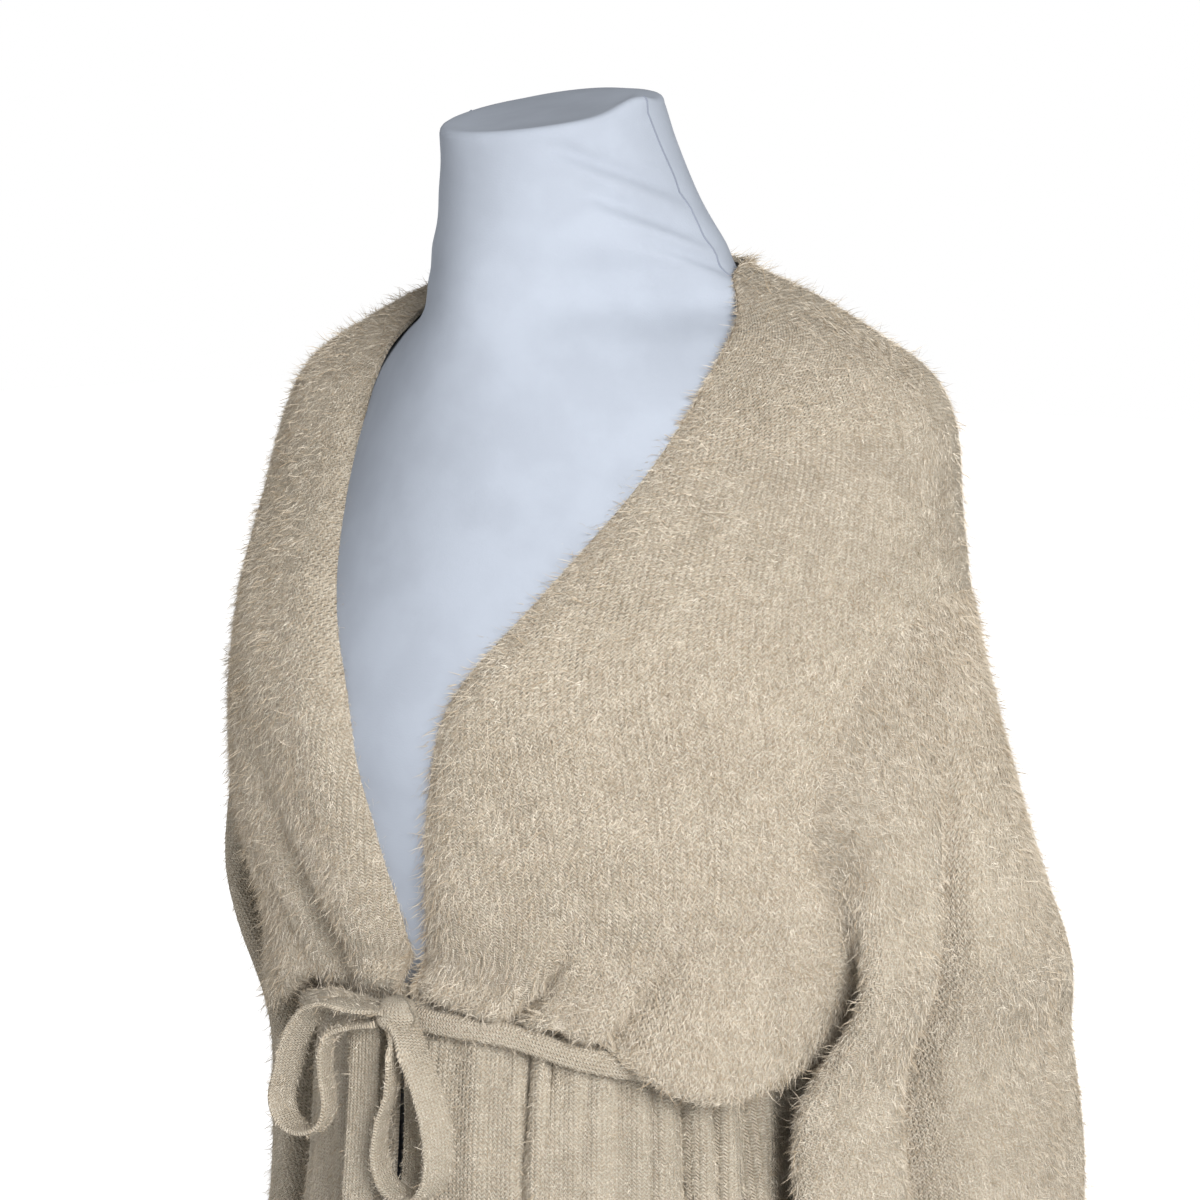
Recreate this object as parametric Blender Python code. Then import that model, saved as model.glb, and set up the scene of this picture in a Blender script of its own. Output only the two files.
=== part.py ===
"""A brushed-knit cardigan with a tied empire waist, on a plain dress form."""

import bpy
import numpy as np

for old in list(bpy.data.objects):
    bpy.data.objects.remove(old, do_unlink=True)

# Sizes are in metres and angles in degrees. The form stands on z = 0 and faces -Y.
# Angle 0 is the wearer's left (+X), 90 the front, 180 the wearer's right and -90 the back.
WALL = 0.0024
SEAM = 0.0007
SHOULDER_END = 6.0
UNDERARM = 9.3
WAIST = 12.0
ARM_REACH = {"front": 32.0, "back": -40.0}
ARM_STEPS = 16
ARM_LEAVE = 0.03
SIDE_STEPS = 6
EDGE_ROLL = 0.006
EDGE_ROLL_WIDTH = 0.02

# One row per ring of the bodice, from the neck to the waist seam.
# Columns: side_x, side_y, side_z, front_y, front_z, back_y, back_z, power, edge_x.
BODICE_RINGS = (
    (0.0855, 0.025, 0.7035, 0.006, 0.668, 0.076, 0.7090, 1.00, 0.0855),
    (0.1150, 0.025, 0.6900, 0.017, 0.661, 0.092, 0.6860, 1.00, 0.0960),
    (0.1490, 0.025, 0.6730, 0.037, 0.652, 0.104, 0.6580, 1.00, 0.1010),
    (0.1795, 0.025, 0.6560, 0.065, 0.619, 0.113, 0.6270, 1.10, 0.0980),
    (0.1945, 0.025, 0.6320, 0.091, 0.591, 0.120, 0.5930, 1.18, 0.0840),
    (0.1980, 0.026, 0.5970, 0.125, 0.552, 0.126, 0.5560, 1.18, 0.0630),
    (0.2000, 0.030, 0.5570, 0.149, 0.507, 0.130, 0.5150, 1.12, 0.0340),
    (0.2060, 0.036, 0.4980, 0.145, 0.460, 0.132, 0.4680, 1.06, 0.0165),
    (0.2050, 0.040, 0.4400, 0.139, 0.422, 0.130, 0.4250, 1.04, 0.0100),
    (0.1880, 0.040, 0.3870, 0.133, 0.397, 0.124, 0.3860, 1.00, 0.0070),
    (0.1580, 0.031, 0.3560, 0.129, 0.383, 0.116, 0.3610, 0.98, 0.0060),
    (0.1400, 0.020, 0.3430, 0.127, 0.3765, 0.106, 0.3450, 1.00, 0.0050),
    (0.1310, 0.010, 0.3345, 0.1225, 0.3700, 0.100, 0.3365, 1.00, 0.0050),
)

# Where the bodice blouses over the tie.
BLOUSE_LEVEL = 10.0
BLOUSE_LEVEL_SPREAD = 0.55
# Columns: angle, spread, out, drop.
BLOUSES = (
    (38, 20, 0.013, 0.036),
    (4, 16, 0.000, 0.014),
    (142, 20, 0.013, 0.034),
    (176, 16, 0.000, 0.014),
    (-38, 20, 0.012, 0.020),
    (-90, 24, 0.008, 0.012),
    (-142, 20, 0.012, 0.020),
)

# The largest creases of the bodice, each a trough between two points.
# Columns: top_angle, top_level, low_angle, low_level, half_width, depth.
BODICE_CREASES = (
    (61, 8.2, 68, 12.0, 5.0, 0.0090),
    (44, 9.0, 58, 12.0, 4.5, 0.0060),
    (112, 7.6, 106, 12.0, 5.0, 0.0070),
    (135, 9.0, 122, 12.0, 4.5, 0.0060),
    (-62, 8.6, -66, 12.0, 5.0, 0.0060),
    (-104, 8.4, -98, 12.0, 5.0, 0.0060),
    (-128, 8.8, -122, 12.0, 5.0, 0.0060),
)

# One row per ring of the wearer's left sleeve below the armhole.
# Columns: x, y, z, half_length, half_thick, turn, tilt.
SLEEVE_RINGS = (
    (0.2020, 0.0360, 0.382, 0.071, 0.018, 82, 0.024),
    (0.1810, 0.0525, 0.320, 0.0935, 0.025, 79, 0.010),
    (0.1805, 0.0625, 0.260, 0.1005, 0.026, 80, 0.004),
    (0.1870, 0.0625, 0.195, 0.0935, 0.028, 81, 0.002),
    (0.2070, 0.0620, 0.130, 0.084, 0.029, 82, 0.000),
)
SLEEVE_ROWS = 12
# Columns: around, top, low, half_width, depth.
SLEEVE_CREASES = (
    (20, 0.9, 4.6, 13, 0.0080),
    (-48, 1.2, 4.2, 12, 0.0050),
)

# One row per ring of the gathered skirt, from the waist seam to the hem.
# Columns: side_x, side_y, side_z, front_y, front_z, back_y, back_z, power, edge_x.
SKIRT_RINGS = (
    (0.1310, 0.010, 0.3305, 0.1225, 0.3665, 0.100, 0.3325, 1.00, 0.0040),
    (0.1340, 0.010, 0.3000, 0.1280, 0.3250, 0.108, 0.3000, 1.00, 0.0045),
    (0.1380, 0.010, 0.2450, 0.1310, 0.2560, 0.118, 0.2450, 1.00, 0.0070),
    (0.1580, 0.010, 0.1500, 0.1350, 0.1520, 0.136, 0.1500, 1.00, 0.0130),
    (0.1740, 0.010, 0.0500, 0.1400, 0.0500, 0.148, 0.0500, 1.00, 0.0200),
)
SKIRT_ROWS = 7
SKIRT_STEP = 3.0
# Columns: angle, half_width, depth, reach.
GATHERS = (
    (79, 3.6, 0.0045, 0.6),
    (68, 3.8, 0.0065, 0.9),
    (57, 3.4, 0.0050, 0.5),
    (44, 3.8, 0.0065, 1.2),
    (31, 4.0, 0.0075, 1.4),
    (18, 3.6, 0.0060, 0.8),
    (6, 3.6, 0.0065, 1.0),
    (-8, 3.8, 0.0060, 0.9),
    (-21, 3.6, 0.0070, 1.3),
    (-33, 3.6, 0.0055, 0.6),
    (-47, 4.0, 0.0070, 1.1),
    (-60, 3.6, 0.0055, 0.7),
    (-72, 3.8, 0.0065, 1.2),
    (-86, 3.6, 0.0060, 0.8),
    (-98, 3.8, 0.0070, 1.3),
    (-111, 3.6, 0.0055, 0.6),
    (-124, 4.0, 0.0070, 1.0),
    (-137, 3.6, 0.0060, 0.7),
    (-149, 3.8, 0.0065, 1.2),
    (-163, 3.6, 0.0060, 0.9),
    (-175, 3.6, 0.0065, 1.0),
    (171, 3.8, 0.0060, 0.8),
    (159, 3.6, 0.0070, 1.3),
    (146, 3.8, 0.0065, 0.9),
    (133, 3.6, 0.0055, 0.6),
    (121, 3.8, 0.0070, 1.2),
    (110, 3.6, 0.0055, 0.7),
    (100, 3.4, 0.0045, 0.9),
)

# The tie straps, rolled where they circle the waist and flat where they hang.
BELT_DROP = 0.0100
BELT_STAND_OFF = 0.0072
BELT_WIDTH = 0.011
BELT_THICK = 0.005
BELT_ANGLES = (83.0, 5.0)
KNOT_CENTRE = (0.005, -0.1400, 0.3620)
KNOT_RADII = (0.0090, 0.0080, 0.0085)
STRAP_WIDTH = 0.017
STRAP_THICK = 0.0034
LOOP_STAND_OFF = 0.0085
# Columns: x, z.
LEFT_LOOP = (
    (0.0120, -0.0090),
    (0.0190, -0.0190),
    (0.0255, -0.0320),
    (0.0300, -0.0480),
    (0.0305, -0.0650),
    (0.0245, -0.0775),
    (0.0130, -0.0820),
    (0.0010, -0.0775),
    (-0.0045, -0.0650),
    (-0.0025, -0.0480),
    (0.0030, -0.0340),
    (0.0050, -0.0200),
    (0.0050, -0.0125),
)
RIGHT_LOOP = (
    (-0.0150, 0.0025),
    (-0.0330, 0.0030),
    (-0.0470, -0.0050),
    (-0.0560, -0.0190),
    (-0.0610, -0.0340),
    (-0.0650, -0.0480),
    (-0.0610, -0.0585),
    (-0.0500, -0.0615),
    (-0.0390, -0.0560),
    (-0.0350, -0.0450),
    (-0.0370, -0.0310),
    (-0.0360, -0.0180),
    (-0.0290, -0.0095),
)
LOOP_STEPS = 26
# Columns: x, top_z, low_z, stand_off.
LEFT_TAIL = (0.0110, 0.3500, 0.1650, 0.0045)
RIGHT_TAIL = (-0.0165, 0.3660, 0.1450, 0.0130)
TAIL_STEPS = 8

# One row per level of the dress form. Bell draws the section's corners in towards the shoulders.
# Columns: z, width, front, back, side_y, bell.
FORM_LEVELS = (
    (0.000, 0.1480, 0.1050, 0.114, 0.010, 0.00),
    (0.050, 0.1550, 0.1100, 0.124, 0.010, 0.00),
    (0.095, 0.1560, 0.1130, 0.127, 0.010, 0.00),
    (0.150, 0.1470, 0.1120, 0.121, 0.010, 0.00),
    (0.215, 0.1280, 0.1080, 0.105, 0.008, 0.00),
    (0.290, 0.1120, 0.1020, 0.088, 0.006, 0.00),
    (0.345, 0.1190, 0.1090, 0.090, 0.006, 0.00),
    (0.395, 0.1340, 0.1200, 0.098, 0.008, 0.00),
    (0.440, 0.1430, 0.1310, 0.105, 0.010, 0.00),
    (0.485, 0.1500, 0.1380, 0.110, 0.014, 0.05),
    (0.522, 0.1600, 0.1340, 0.112, 0.018, 0.15),
    (0.560, 0.1720, 0.1210, 0.112, 0.021, 0.35),
    (0.600, 0.1810, 0.1040, 0.107, 0.024, 0.60),
    (0.632, 0.1810, 0.0930, 0.103, 0.025, 0.84),
    (0.651, 0.1700, 0.0880, 0.098, 0.025, 0.92),
    (0.668, 0.1430, 0.0840, 0.092, 0.025, 0.92),
    (0.684, 0.1045, 0.0800, 0.086, 0.022, 0.84),
    (0.699, 0.0805, 0.0760, 0.079, 0.017, 0.42),
    (0.716, 0.0725, 0.0725, 0.069, 0.010, 0.08),
    (0.736, 0.0630, 0.0700, 0.053, 0.003, 0.00),
    (0.757, 0.0570, 0.0692, 0.041, -0.006, 0.00),
    (0.774, 0.0540, 0.0708, 0.035, -0.013, 0.00),
)
FORM_COLUMNS_ROUND = 36
BACK_BELL = 0.4
FORM_ROWS = 30
CAP_SLOPE = 0.22
CAP_ROUND = 0.004


def unit(vectors):
    return vectors / np.linalg.norm(vectors, axis=-1, keepdims=True)


def smooth(low, high, value):
    part = np.clip((value - low) / (high - low), 0.0, 1.0)
    return part * part * (3 - 2 * part)


def spline(rows, at):
    """Smooth curve through equally spaced rows of numbers."""
    rows = np.asarray(rows, float)
    at = np.clip(np.asarray(at, float), 0, len(rows) - 1)
    low = np.minimum(at.astype(int), len(rows) - 2)
    part = (at - low)[..., None]
    slope = np.gradient(rows, axis=0)
    start = (2 * part**3 - 3 * part**2 + 1) * rows[low]
    leave = (part**3 - 2 * part**2 + part) * slope[low]
    reach = (3 * part**2 - 2 * part**3) * rows[low + 1]
    arrive = (part**3 - part**2) * slope[low + 1]
    return start + leave + reach + arrive


def turn_between(angle, other):
    return (angle - other + 180) % 360 - 180


def outward(angle):
    turn = np.radians(angle)
    return np.stack([np.cos(turn), -np.sin(turn), 0 * turn], -1)


def ring_point(rings, angle, level):
    """Point of a rounded garment ring."""
    width, side_y, side_z, front_y, front_z, back_y, back_z, power, _ = np.moveaxis(
        spline(rings, level), -1, 0
    )
    turn = np.radians(angle)
    across = np.cos(turn)
    along = np.sin(turn)
    reach = np.abs(along) ** power
    ahead = along > 0
    x = width * np.sign(across) * np.abs(across) ** power
    y = side_y + np.where(ahead, -front_y - side_y, back_y - side_y) * reach
    z = side_z + np.where(ahead, front_z - side_z, back_z - side_z) * along**2
    return np.stack([x, y, z], -1)


def edge_angle(rings, level):
    """Angle at which the wearer's left front edge crosses a ring."""
    row = spline(rings, level)
    share = np.clip(row[..., 8] / row[..., 0], 0.0, 1.0)
    return np.degrees(np.arccos(share ** (1 / row[..., 7])))


def crease_depth(creases, angle, level):
    total = 0.0 * angle
    for top_angle, top_level, low_angle, low_level, half_width, depth in creases:
        along = np.clip((level - top_level) / (low_level - top_level), 0.0, 1.0)
        gap = turn_between(angle, top_angle + (low_angle - top_angle) * along)
        strength = smooth(0.0, 0.6, along) * (1 - 0.6 * smooth(0.8, 1.0, along))
        total = total + depth * strength * np.exp(-((gap / half_width) ** 2))
    return total


def bodice_point(angle, level):
    """Middle of the bodice's wall."""
    point = ring_point(BODICE_RINGS, angle, level)
    out = -crease_depth(BODICE_CREASES, angle, level)
    drop = 0.0 * angle
    near = np.exp(-(((level - BLOUSE_LEVEL) / BLOUSE_LEVEL_SPREAD) ** 2))
    for centre, spread, blouse_out, blouse_drop in BLOUSES:
        share = near * np.exp(-((turn_between(angle, centre) / spread) ** 2))
        out = out + blouse_out * share
        drop = drop + blouse_drop * share
    edge = edge_angle(BODICE_RINGS, level)
    ahead = (angle > 0) & (angle < 180)
    inside = np.where(ahead, np.maximum(edge - angle, angle - 180 + edge), 90)
    apart = np.clip(1 - np.radians(inside) * 0.135 / EDGE_ROLL_WIDTH, 0.0, 1.0)
    rolled = smooth(4.0, 6.5, level) * (1 - 0.8 * smooth(9.5, 11.5, level))
    out = out - EDGE_ROLL * apart**2 * rolled
    return point + outward(angle) * out[..., None] - np.array([0, 0, 1]) * drop[..., None]


def skirt_point(angle, level):
    """Middle of the gathered skirt's wall."""
    point = ring_point(SKIRT_RINGS, angle, level)
    fall = level / (len(SKIRT_RINGS) - 1)
    out = 0.0 * angle
    for centre, half_width, depth, reach in GATHERS:
        spread = half_width * (1 + 0.5 * fall)
        strength = (0.55 + 0.45 * smooth(0.0, 0.15, fall)) * np.exp(-((fall / reach) ** 2))
        out = out - depth * strength * np.exp(-((turn_between(angle, centre) / spread) ** 2))
    return point + outward(angle) * out[..., None]


def surface_normals(surface, angle, level, levels):
    """Unit normals of a surface given by angle and level, facing out of the garment."""
    turn = 0.4
    step = 0.25
    low = np.clip(level - step, 0, levels)
    high = np.clip(level + step, 0, levels)
    around = surface(angle + turn, level) - surface(angle - turn, level)
    down = surface(angle, high) - surface(angle, low)
    return unit(np.cross(around, down))


def pull_in(points, row, step):
    """Move one border row of a grid half a seam gap into the piece, square to the border."""
    border = unit(np.gradient(points[row], axis=0))
    inward = points[row + step] - points[row]
    inward = unit(inward - border * (inward * border).sum(-1, keepdims=True))
    points[row] += inward * SEAM / 2


def add_object(name, vertices, faces, colour):
    mesh = bpy.data.meshes.new(name)
    mesh.from_pydata([tuple(v) for v in vertices], [], faces)
    mesh.validate()
    material = bpy.data.materials.new(name)
    material.use_nodes = True
    shader = material.node_tree.nodes["Principled BSDF"]
    shader.inputs["Base Color"].default_value = (*colour, 1.0)
    shader.inputs["Roughness"].default_value = 0.9
    mesh.materials.append(material)
    made = bpy.data.objects.new(name, mesh)
    bpy.context.scene.collection.objects.link(made)
    return made


def add_wall(name, points, normals, colour, tube=False):
    """Closed wall on both sides of a grid of points. A tube joins the last column to the first."""
    rows, columns = points.shape[:2]
    flat = points.reshape(-1, 3)
    lift = normals.reshape(-1, 3) * WALL / 2
    vertices = np.concatenate([flat + lift, flat - lift])
    inner = rows * columns
    outer_faces = []
    for i in range(rows - 1):
        for j in range(columns if tube else columns - 1):
            k = (j + 1) % columns
            outer_faces.append(
                (i * columns + j, (i + 1) * columns + j, (i + 1) * columns + k, i * columns + k)
            )
    start, below, _, beside = (flat[[face[n] for face in outer_faces]] for n in range(4))
    outward_at = lift[[face[0] for face in outer_faces]]
    if (np.cross(below - start, beside - start) * outward_at).sum() < 0:
        outer_faces = [face[::-1] for face in outer_faces]
    used = {}
    for face in outer_faces:
        for n in range(4):
            used[(face[n], face[(n + 1) % 4])] = True
    rims = [
        (end, start, start + inner, end + inner)
        for start, end in used
        if (end, start) not in used
    ]
    inner_faces = [(a + inner, d + inner, c + inner, b + inner) for a, b, c, d in outer_faces]
    return add_object(name, vertices, outer_faces + inner_faces + rims, colour)


def add_strap(name, path, across, width, thick, colour):
    """Flat strap with rounded edges along a path. Across is the direction of its width."""
    along = unit(np.gradient(path, axis=0))
    across = unit(across - along * (across * along).sum(-1, keepdims=True))
    through = np.cross(along, across)
    corners = (
        (0.5, 0.2), (0.42, 0.5), (-0.42, 0.5), (-0.5, 0.2),
        (-0.5, -0.2), (-0.42, -0.5), (0.42, -0.5), (0.5, -0.2),
    )
    count = len(corners)
    rings = [path + across * width * side + through * thick * face for side, face in corners]
    vertices = np.stack(rings, 1).reshape(-1, 3)
    faces = []
    for i in range(len(path) - 1):
        for j in range(count):
            k = (j + 1) % count
            faces.append(
                (i * count + j, i * count + k, (i + 1) * count + k, (i + 1) * count + j)
            )
    last = (len(path) - 1) * count
    faces.append(tuple(range(count))[::-1])
    faces.append(tuple(last + j for j in range(count)))
    return add_object(name, vertices, faces, colour)


def mirrored(points):
    return points * np.array([-1.0, 1.0, 1.0])


def front_grid(columns):
    """Angles and levels of the left front: shoulder seam, front edge, waist, armhole and side."""
    across = np.linspace(0.0, 1.0, columns)
    turn = np.linspace(0.0, np.pi, ARM_STEPS + 1)
    down = np.concatenate(
        [
            np.linspace(0.0, UNDERARM / WAIST, ARM_STEPS + 1),
            np.linspace(UNDERARM / WAIST, 1.0, SIDE_STEPS + 1)[1:],
        ]
    )
    arm_level = SHOULDER_END + (UNDERARM - SHOULDER_END) * (1 - np.cos(turn)) / 2
    side_level = np.linspace(UNDERARM, WAIST, SIDE_STEPS + 1)[1:]
    right = np.stack(
        [
            np.concatenate([ARM_REACH["front"] * np.sin(turn), 0 * side_level]),
            np.concatenate([arm_level, side_level]),
        ],
        -1,
    )
    left_level = WAIST * down
    left = np.stack([edge_angle(BODICE_RINGS, left_level), left_level], -1)
    top = np.stack([0 * across, SHOULDER_END * across], -1)
    low_angle = left[-1, 0] * (1 - across)
    low = np.stack([low_angle, WAIST + 0 * across], -1)
    u = across[None, :, None]
    v = down[:, None, None]
    blend = (1 - u) * left[:, None] + u * right[:, None] + (1 - v) * top[None] + v * low[None]
    corners = (1 - v) * ((1 - u) * top[0] + u * top[-1]) + v * ((1 - u) * low[0] + u * low[-1])
    grid = blend - corners
    return grid[..., 0], grid[..., 1]


def back_grid(columns):
    """Angles and levels of the back, from the wearer's left shoulder, armhole and side to the right."""
    turn = np.linspace(0.0, np.pi, ARM_STEPS + 1)
    top_level = np.linspace(0.0, SHOULDER_END, 7)[:-1]
    arm_level = SHOULDER_END + (UNDERARM - SHOULDER_END) * (1 - np.cos(turn)) / 2
    side_level = np.linspace(UNDERARM, WAIST, SIDE_STEPS + 1)[1:]
    level = np.concatenate([top_level, arm_level, side_level])
    start = np.concatenate([0 * top_level, ARM_REACH["back"] * np.sin(turn), 0 * side_level])
    across = np.linspace(0.0, 1.0, columns)[None, :]
    angle = start[:, None] + (-180 - 2 * start[:, None]) * across
    return angle, level[:, None] + 0 * across


def add_bodice(colour):
    angle, level = front_grid(20)
    for name, side in (("bodice_front_left", 1), ("bodice_front_right", -1)):
        turned = angle if side > 0 else 180 - angle
        points = bodice_point(turned, level)
        normals = surface_normals(bodice_point, turned, level, WAIST)
        columns = points.transpose(1, 0, 2)
        pull_in(columns, -1, -1)
        pull_in(points, 0, 1)
        add_wall(name, points, normals, colour)
    angle, level = back_grid(25)
    points = bodice_point(angle, level)
    normals = surface_normals(bodice_point, angle, level, WAIST)
    columns = points.transpose(1, 0, 2)
    pull_in(columns, 0, 1)
    pull_in(columns, -1, -1)
    add_wall("bodice_back", points, normals, colour)


def sleeve_grid():
    """Points and normals of the wearer's left sleeve, from the armhole to the open end."""
    half = np.linspace(0.0, np.pi, ARM_STEPS + 1)
    around = np.concatenate([half, np.pi + half[1:-1]])
    reach = np.where(around <= np.pi, ARM_REACH["front"], -ARM_REACH["back"])
    arm_angle = reach * np.sin(around)
    arm_level = SHOULDER_END + (UNDERARM - SHOULDER_END) * (1 - np.cos(around)) / 2
    armhole = bodice_point(arm_angle, arm_level)
    arm_normal = surface_normals(bodice_point, arm_angle, arm_level, WAIST)
    round_hole = np.roll(armhole, -1, axis=0) - np.roll(armhole, 1, axis=0)
    leave = unit(np.cross(arm_normal, round_hole))
    rings = [armhole]
    for x, y, z, half_length, half_thick, turn, tilt in SLEEVE_RINGS:
        ahead = np.array([-np.cos(np.radians(turn)), -np.sin(np.radians(turn)), 0.0])
        out = np.array([np.sin(np.radians(turn)), -np.cos(np.radians(turn)), 0.0])
        ring = np.array([x, y, z]) + half_thick * np.cos(around)[:, None] * out
        ring = ring + half_length * np.sin(around)[:, None] * ahead
        ring[:, 2] += tilt * np.cos(around)
        rings.append(ring)
    rings = np.stack(rings)
    slope = np.gradient(rings, axis=0)
    first = rings[1] - rings[0]
    length = np.linalg.norm(first, axis=-1, keepdims=True)
    slope[0] = 0.8 * np.maximum(length, ARM_LEAVE) * leave + 0.35 * first
    last = len(rings) - 1
    at = last * np.linspace(0.0, 1.0, SLEEVE_ROWS + 1) ** 1.1
    low = np.minimum(at.astype(int), last - 1)
    part = (at - low)[:, None, None]
    points = (
        (2 * part**3 - 3 * part**2 + 1) * rings[low]
        + (part**3 - 2 * part**2 + part) * slope[low]
        + (3 * part**2 - 2 * part**3) * rings[low + 1]
        + (part**3 - part**2) * slope[low + 1]
    )
    normals = tube_normals(points)
    inside = 0.0 * at[:, None] * around[None]
    for centre, top, bottom, half_width, depth in SLEEVE_CREASES:
        gap = turn_between(np.degrees(around), centre)[None]
        run = smooth(top - 0.7, top + 0.7, at) * (1 - smooth(bottom - 0.8, bottom + 0.4, at))
        inside = inside + depth * run[:, None] * np.exp(-((gap / half_width) ** 2))
    points = points - normals * inside[..., None]
    normals = tube_normals(points)
    normals[0] = arm_normal
    pull_in(points, 0, 1)
    return points, normals


def tube_normals(points):
    around = np.roll(points, -1, axis=1) - np.roll(points, 1, axis=1)
    down = np.gradient(points, axis=0)
    return unit(np.cross(around, down))


def add_sleeves(colour):
    points, normals = sleeve_grid()
    add_wall("sleeve_left", points, normals, colour, tube=True)
    add_wall("sleeve_right", mirrored(points), mirrored(normals), colour, tube=True)


def add_skirt(colour):
    last = len(SKIRT_RINGS) - 1
    level = last * np.linspace(0.0, 1.0, SKIRT_ROWS + 1)[:, None] ** 1.25
    edge = edge_angle(SKIRT_RINGS, level)
    panels = (
        ("skirt_front_left", edge, 0 * edge),
        ("skirt_front_right", 180 + 0 * edge, 180 - edge),
        ("skirt_back", 0 * edge, -180 + 0 * edge),
    )
    for name, start, end in panels:
        count = int(abs(end - start).max() / SKIRT_STEP) + 1
        angle = start + (end - start) * np.linspace(0.0, 1.0, count)[None, :]
        grid = level + 0 * angle
        points = skirt_point(angle, grid)
        normals = surface_normals(skirt_point, angle, grid, last)
        columns = points.transpose(1, 0, 2)
        pull_in(columns, 0, 1)
        pull_in(columns, -1, -1)
        add_wall(name, points, normals, colour)


def add_tie(colour):
    for name, side in (("tie_left", 1), ("tie_right", -1)):
        angle = np.linspace(BELT_ANGLES[0], BELT_ANGLES[1], 19)
        turned = angle if side > 0 else 180 - angle
        path = ring_point(BODICE_RINGS, turned, WAIST + 0 * angle)
        path = path + outward(turned) * BELT_STAND_OFF
        path[:, 2] -= BELT_DROP
        across = np.array([0.0, 0.0, 1.0]) + 0 * path
        add_strap(name, path, across, BELT_WIDTH, BELT_THICK, colour)

    across = np.linspace(0, 2 * np.pi, 15)[:-1]
    upward = np.linspace(-np.pi / 2, np.pi / 2, 9)[1:-1]
    ball = [
        (np.cos(up) * np.cos(turn), np.cos(up) * np.sin(turn), np.sin(up))
        for up in upward
        for turn in across
    ]
    count = len(across)
    faces = [
        (i * count + j, i * count + (j + 1) % count, (i + 1) * count + (j + 1) % count, (i + 1) * count + j)
        for i in range(len(upward) - 1)
        for j in range(count)
    ]
    faces.append(tuple(range(count))[::-1])
    faces.append(tuple((len(upward) - 1) * count + j for j in range(count)))
    add_object("tie_knot", np.array(ball) * KNOT_RADII + KNOT_CENTRE, faces, colour)

    for name, table in (("bow_loop_left", LEFT_LOOP), ("bow_loop_right", RIGHT_LOOP)):
        shape = spline(table, np.linspace(0, len(table) - 1, LOOP_STEPS))
        path = np.zeros((LOOP_STEPS, 3)) + KNOT_CENTRE
        path[:, 0] += shape[:, 0]
        path[:, 2] += shape[:, 1]
        path[:, 1] -= LOOP_STAND_OFF
        across = np.array([0.0, 1.0, 0.0]) + 0 * path
        add_strap(name, path, across, STRAP_WIDTH, STRAP_THICK, colour)

    for name, tail in (("tie_tail_left", LEFT_TAIL), ("tie_tail_right", RIGHT_TAIL)):
        x, top_z, low_z, stand_off = tail
        z = np.linspace(top_z, low_z, TAIL_STEPS)
        front = np.interp(-z, [-row[4] for row in SKIRT_RINGS], [row[3] for row in SKIRT_RINGS])
        path = np.stack([x + 0 * z, -front - stand_off, z], -1)
        across = np.array([1.0, 0.0, 0.0]) + 0 * path
        add_strap(name, path, across, STRAP_WIDTH, STRAP_THICK, colour)


def form_section(level, turn):
    """Points round the form at one level."""
    z, width, front, back, side_y, bell = spline(FORM_LEVELS, level)
    across = np.cos(turn)
    along = np.sin(turn)
    depth = np.where(along > 0, front + side_y, back - side_y)
    drawn = np.where(along > 0, bell, BACK_BELL * bell)
    reach = np.sign(along) * ((1 - drawn) * np.abs(along) + drawn * along**4)
    return np.stack([width * across, side_y - depth * reach, z + 0 * turn], -1)


def add_form(colour):
    turn = np.linspace(0, 2 * np.pi, FORM_COLUMNS_ROUND + 1)[:-1]
    last = len(FORM_LEVELS) - 1
    rows = [form_section(level, turn) for level in np.linspace(0, last, FORM_ROWS)]
    top_z = rows[-1][0, 2]
    slant = smooth(top_z - 0.055, top_z, np.array([row[0, 2] for row in rows]))
    middle = rows[-1][:, :2].mean(axis=0)
    for row, share in zip(rows, slant):
        row[:, 2] += share * CAP_SLOPE * (row[:, 1] - middle[1])
    for inset, rise in ((0.3, 0.7), (1.0, 1.0)):
        ring = rows[FORM_ROWS - 1].copy()
        ring[:, :2] -= unit(ring[:, :2] - middle) * CAP_ROUND * inset
        ring[:, 2] += CAP_ROUND * rise
        rows.append(ring)
    vertices = np.concatenate(rows)
    count = len(turn)
    faces = [
        (i * count + j, (i + 1) * count + j, (i + 1) * count + (j + 1) % count, i * count + (j + 1) % count)
        for i in range(len(rows) - 1)
        for j in range(count)
    ]
    faces.append(tuple(range(count)))
    faces.append(tuple((len(rows) - 1) * count + j for j in range(count))[::-1])
    add_object("dress_form", vertices, faces, colour)


KNIT = (0.58, 0.48, 0.35)
TIE_KNIT = (0.60, 0.50, 0.38)
JERSEY = (0.78, 0.80, 0.86)

add_form(JERSEY)
add_bodice(KNIT)
add_sleeves(KNIT)
add_skirt(KNIT)
add_tie(TIE_KNIT)
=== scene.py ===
"""Scene of a brushed-knit cardigan with a tied empire waist, on a plain dress form."""

import bpy
import numpy as np
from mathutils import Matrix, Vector


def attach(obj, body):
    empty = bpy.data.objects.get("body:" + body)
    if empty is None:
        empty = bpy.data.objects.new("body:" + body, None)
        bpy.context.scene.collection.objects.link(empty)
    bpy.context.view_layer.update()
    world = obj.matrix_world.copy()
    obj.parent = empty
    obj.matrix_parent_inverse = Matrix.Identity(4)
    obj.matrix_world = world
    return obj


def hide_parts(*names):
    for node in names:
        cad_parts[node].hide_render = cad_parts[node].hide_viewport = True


# Sizes are in metres and angles in degrees. The form stands on z = 0 and faces -Y.
# Angle 0 is the wearer's left (+X), 90 the front, 180 the wearer's right and -90 the back.
WALL = 0.0024
SHOULDER_END = 6.0
UNDERARM = 9.3
WAIST = 12.0
ARM_REACH = {"front": 32.0, "back": -40.0}
ARM_STEPS = 48
ARM_LEAVE = 0.03
TOP_STEPS = 30
SIDE_STEPS = 28
UP = np.array([0.0, 0.0, 1.0])

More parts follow.
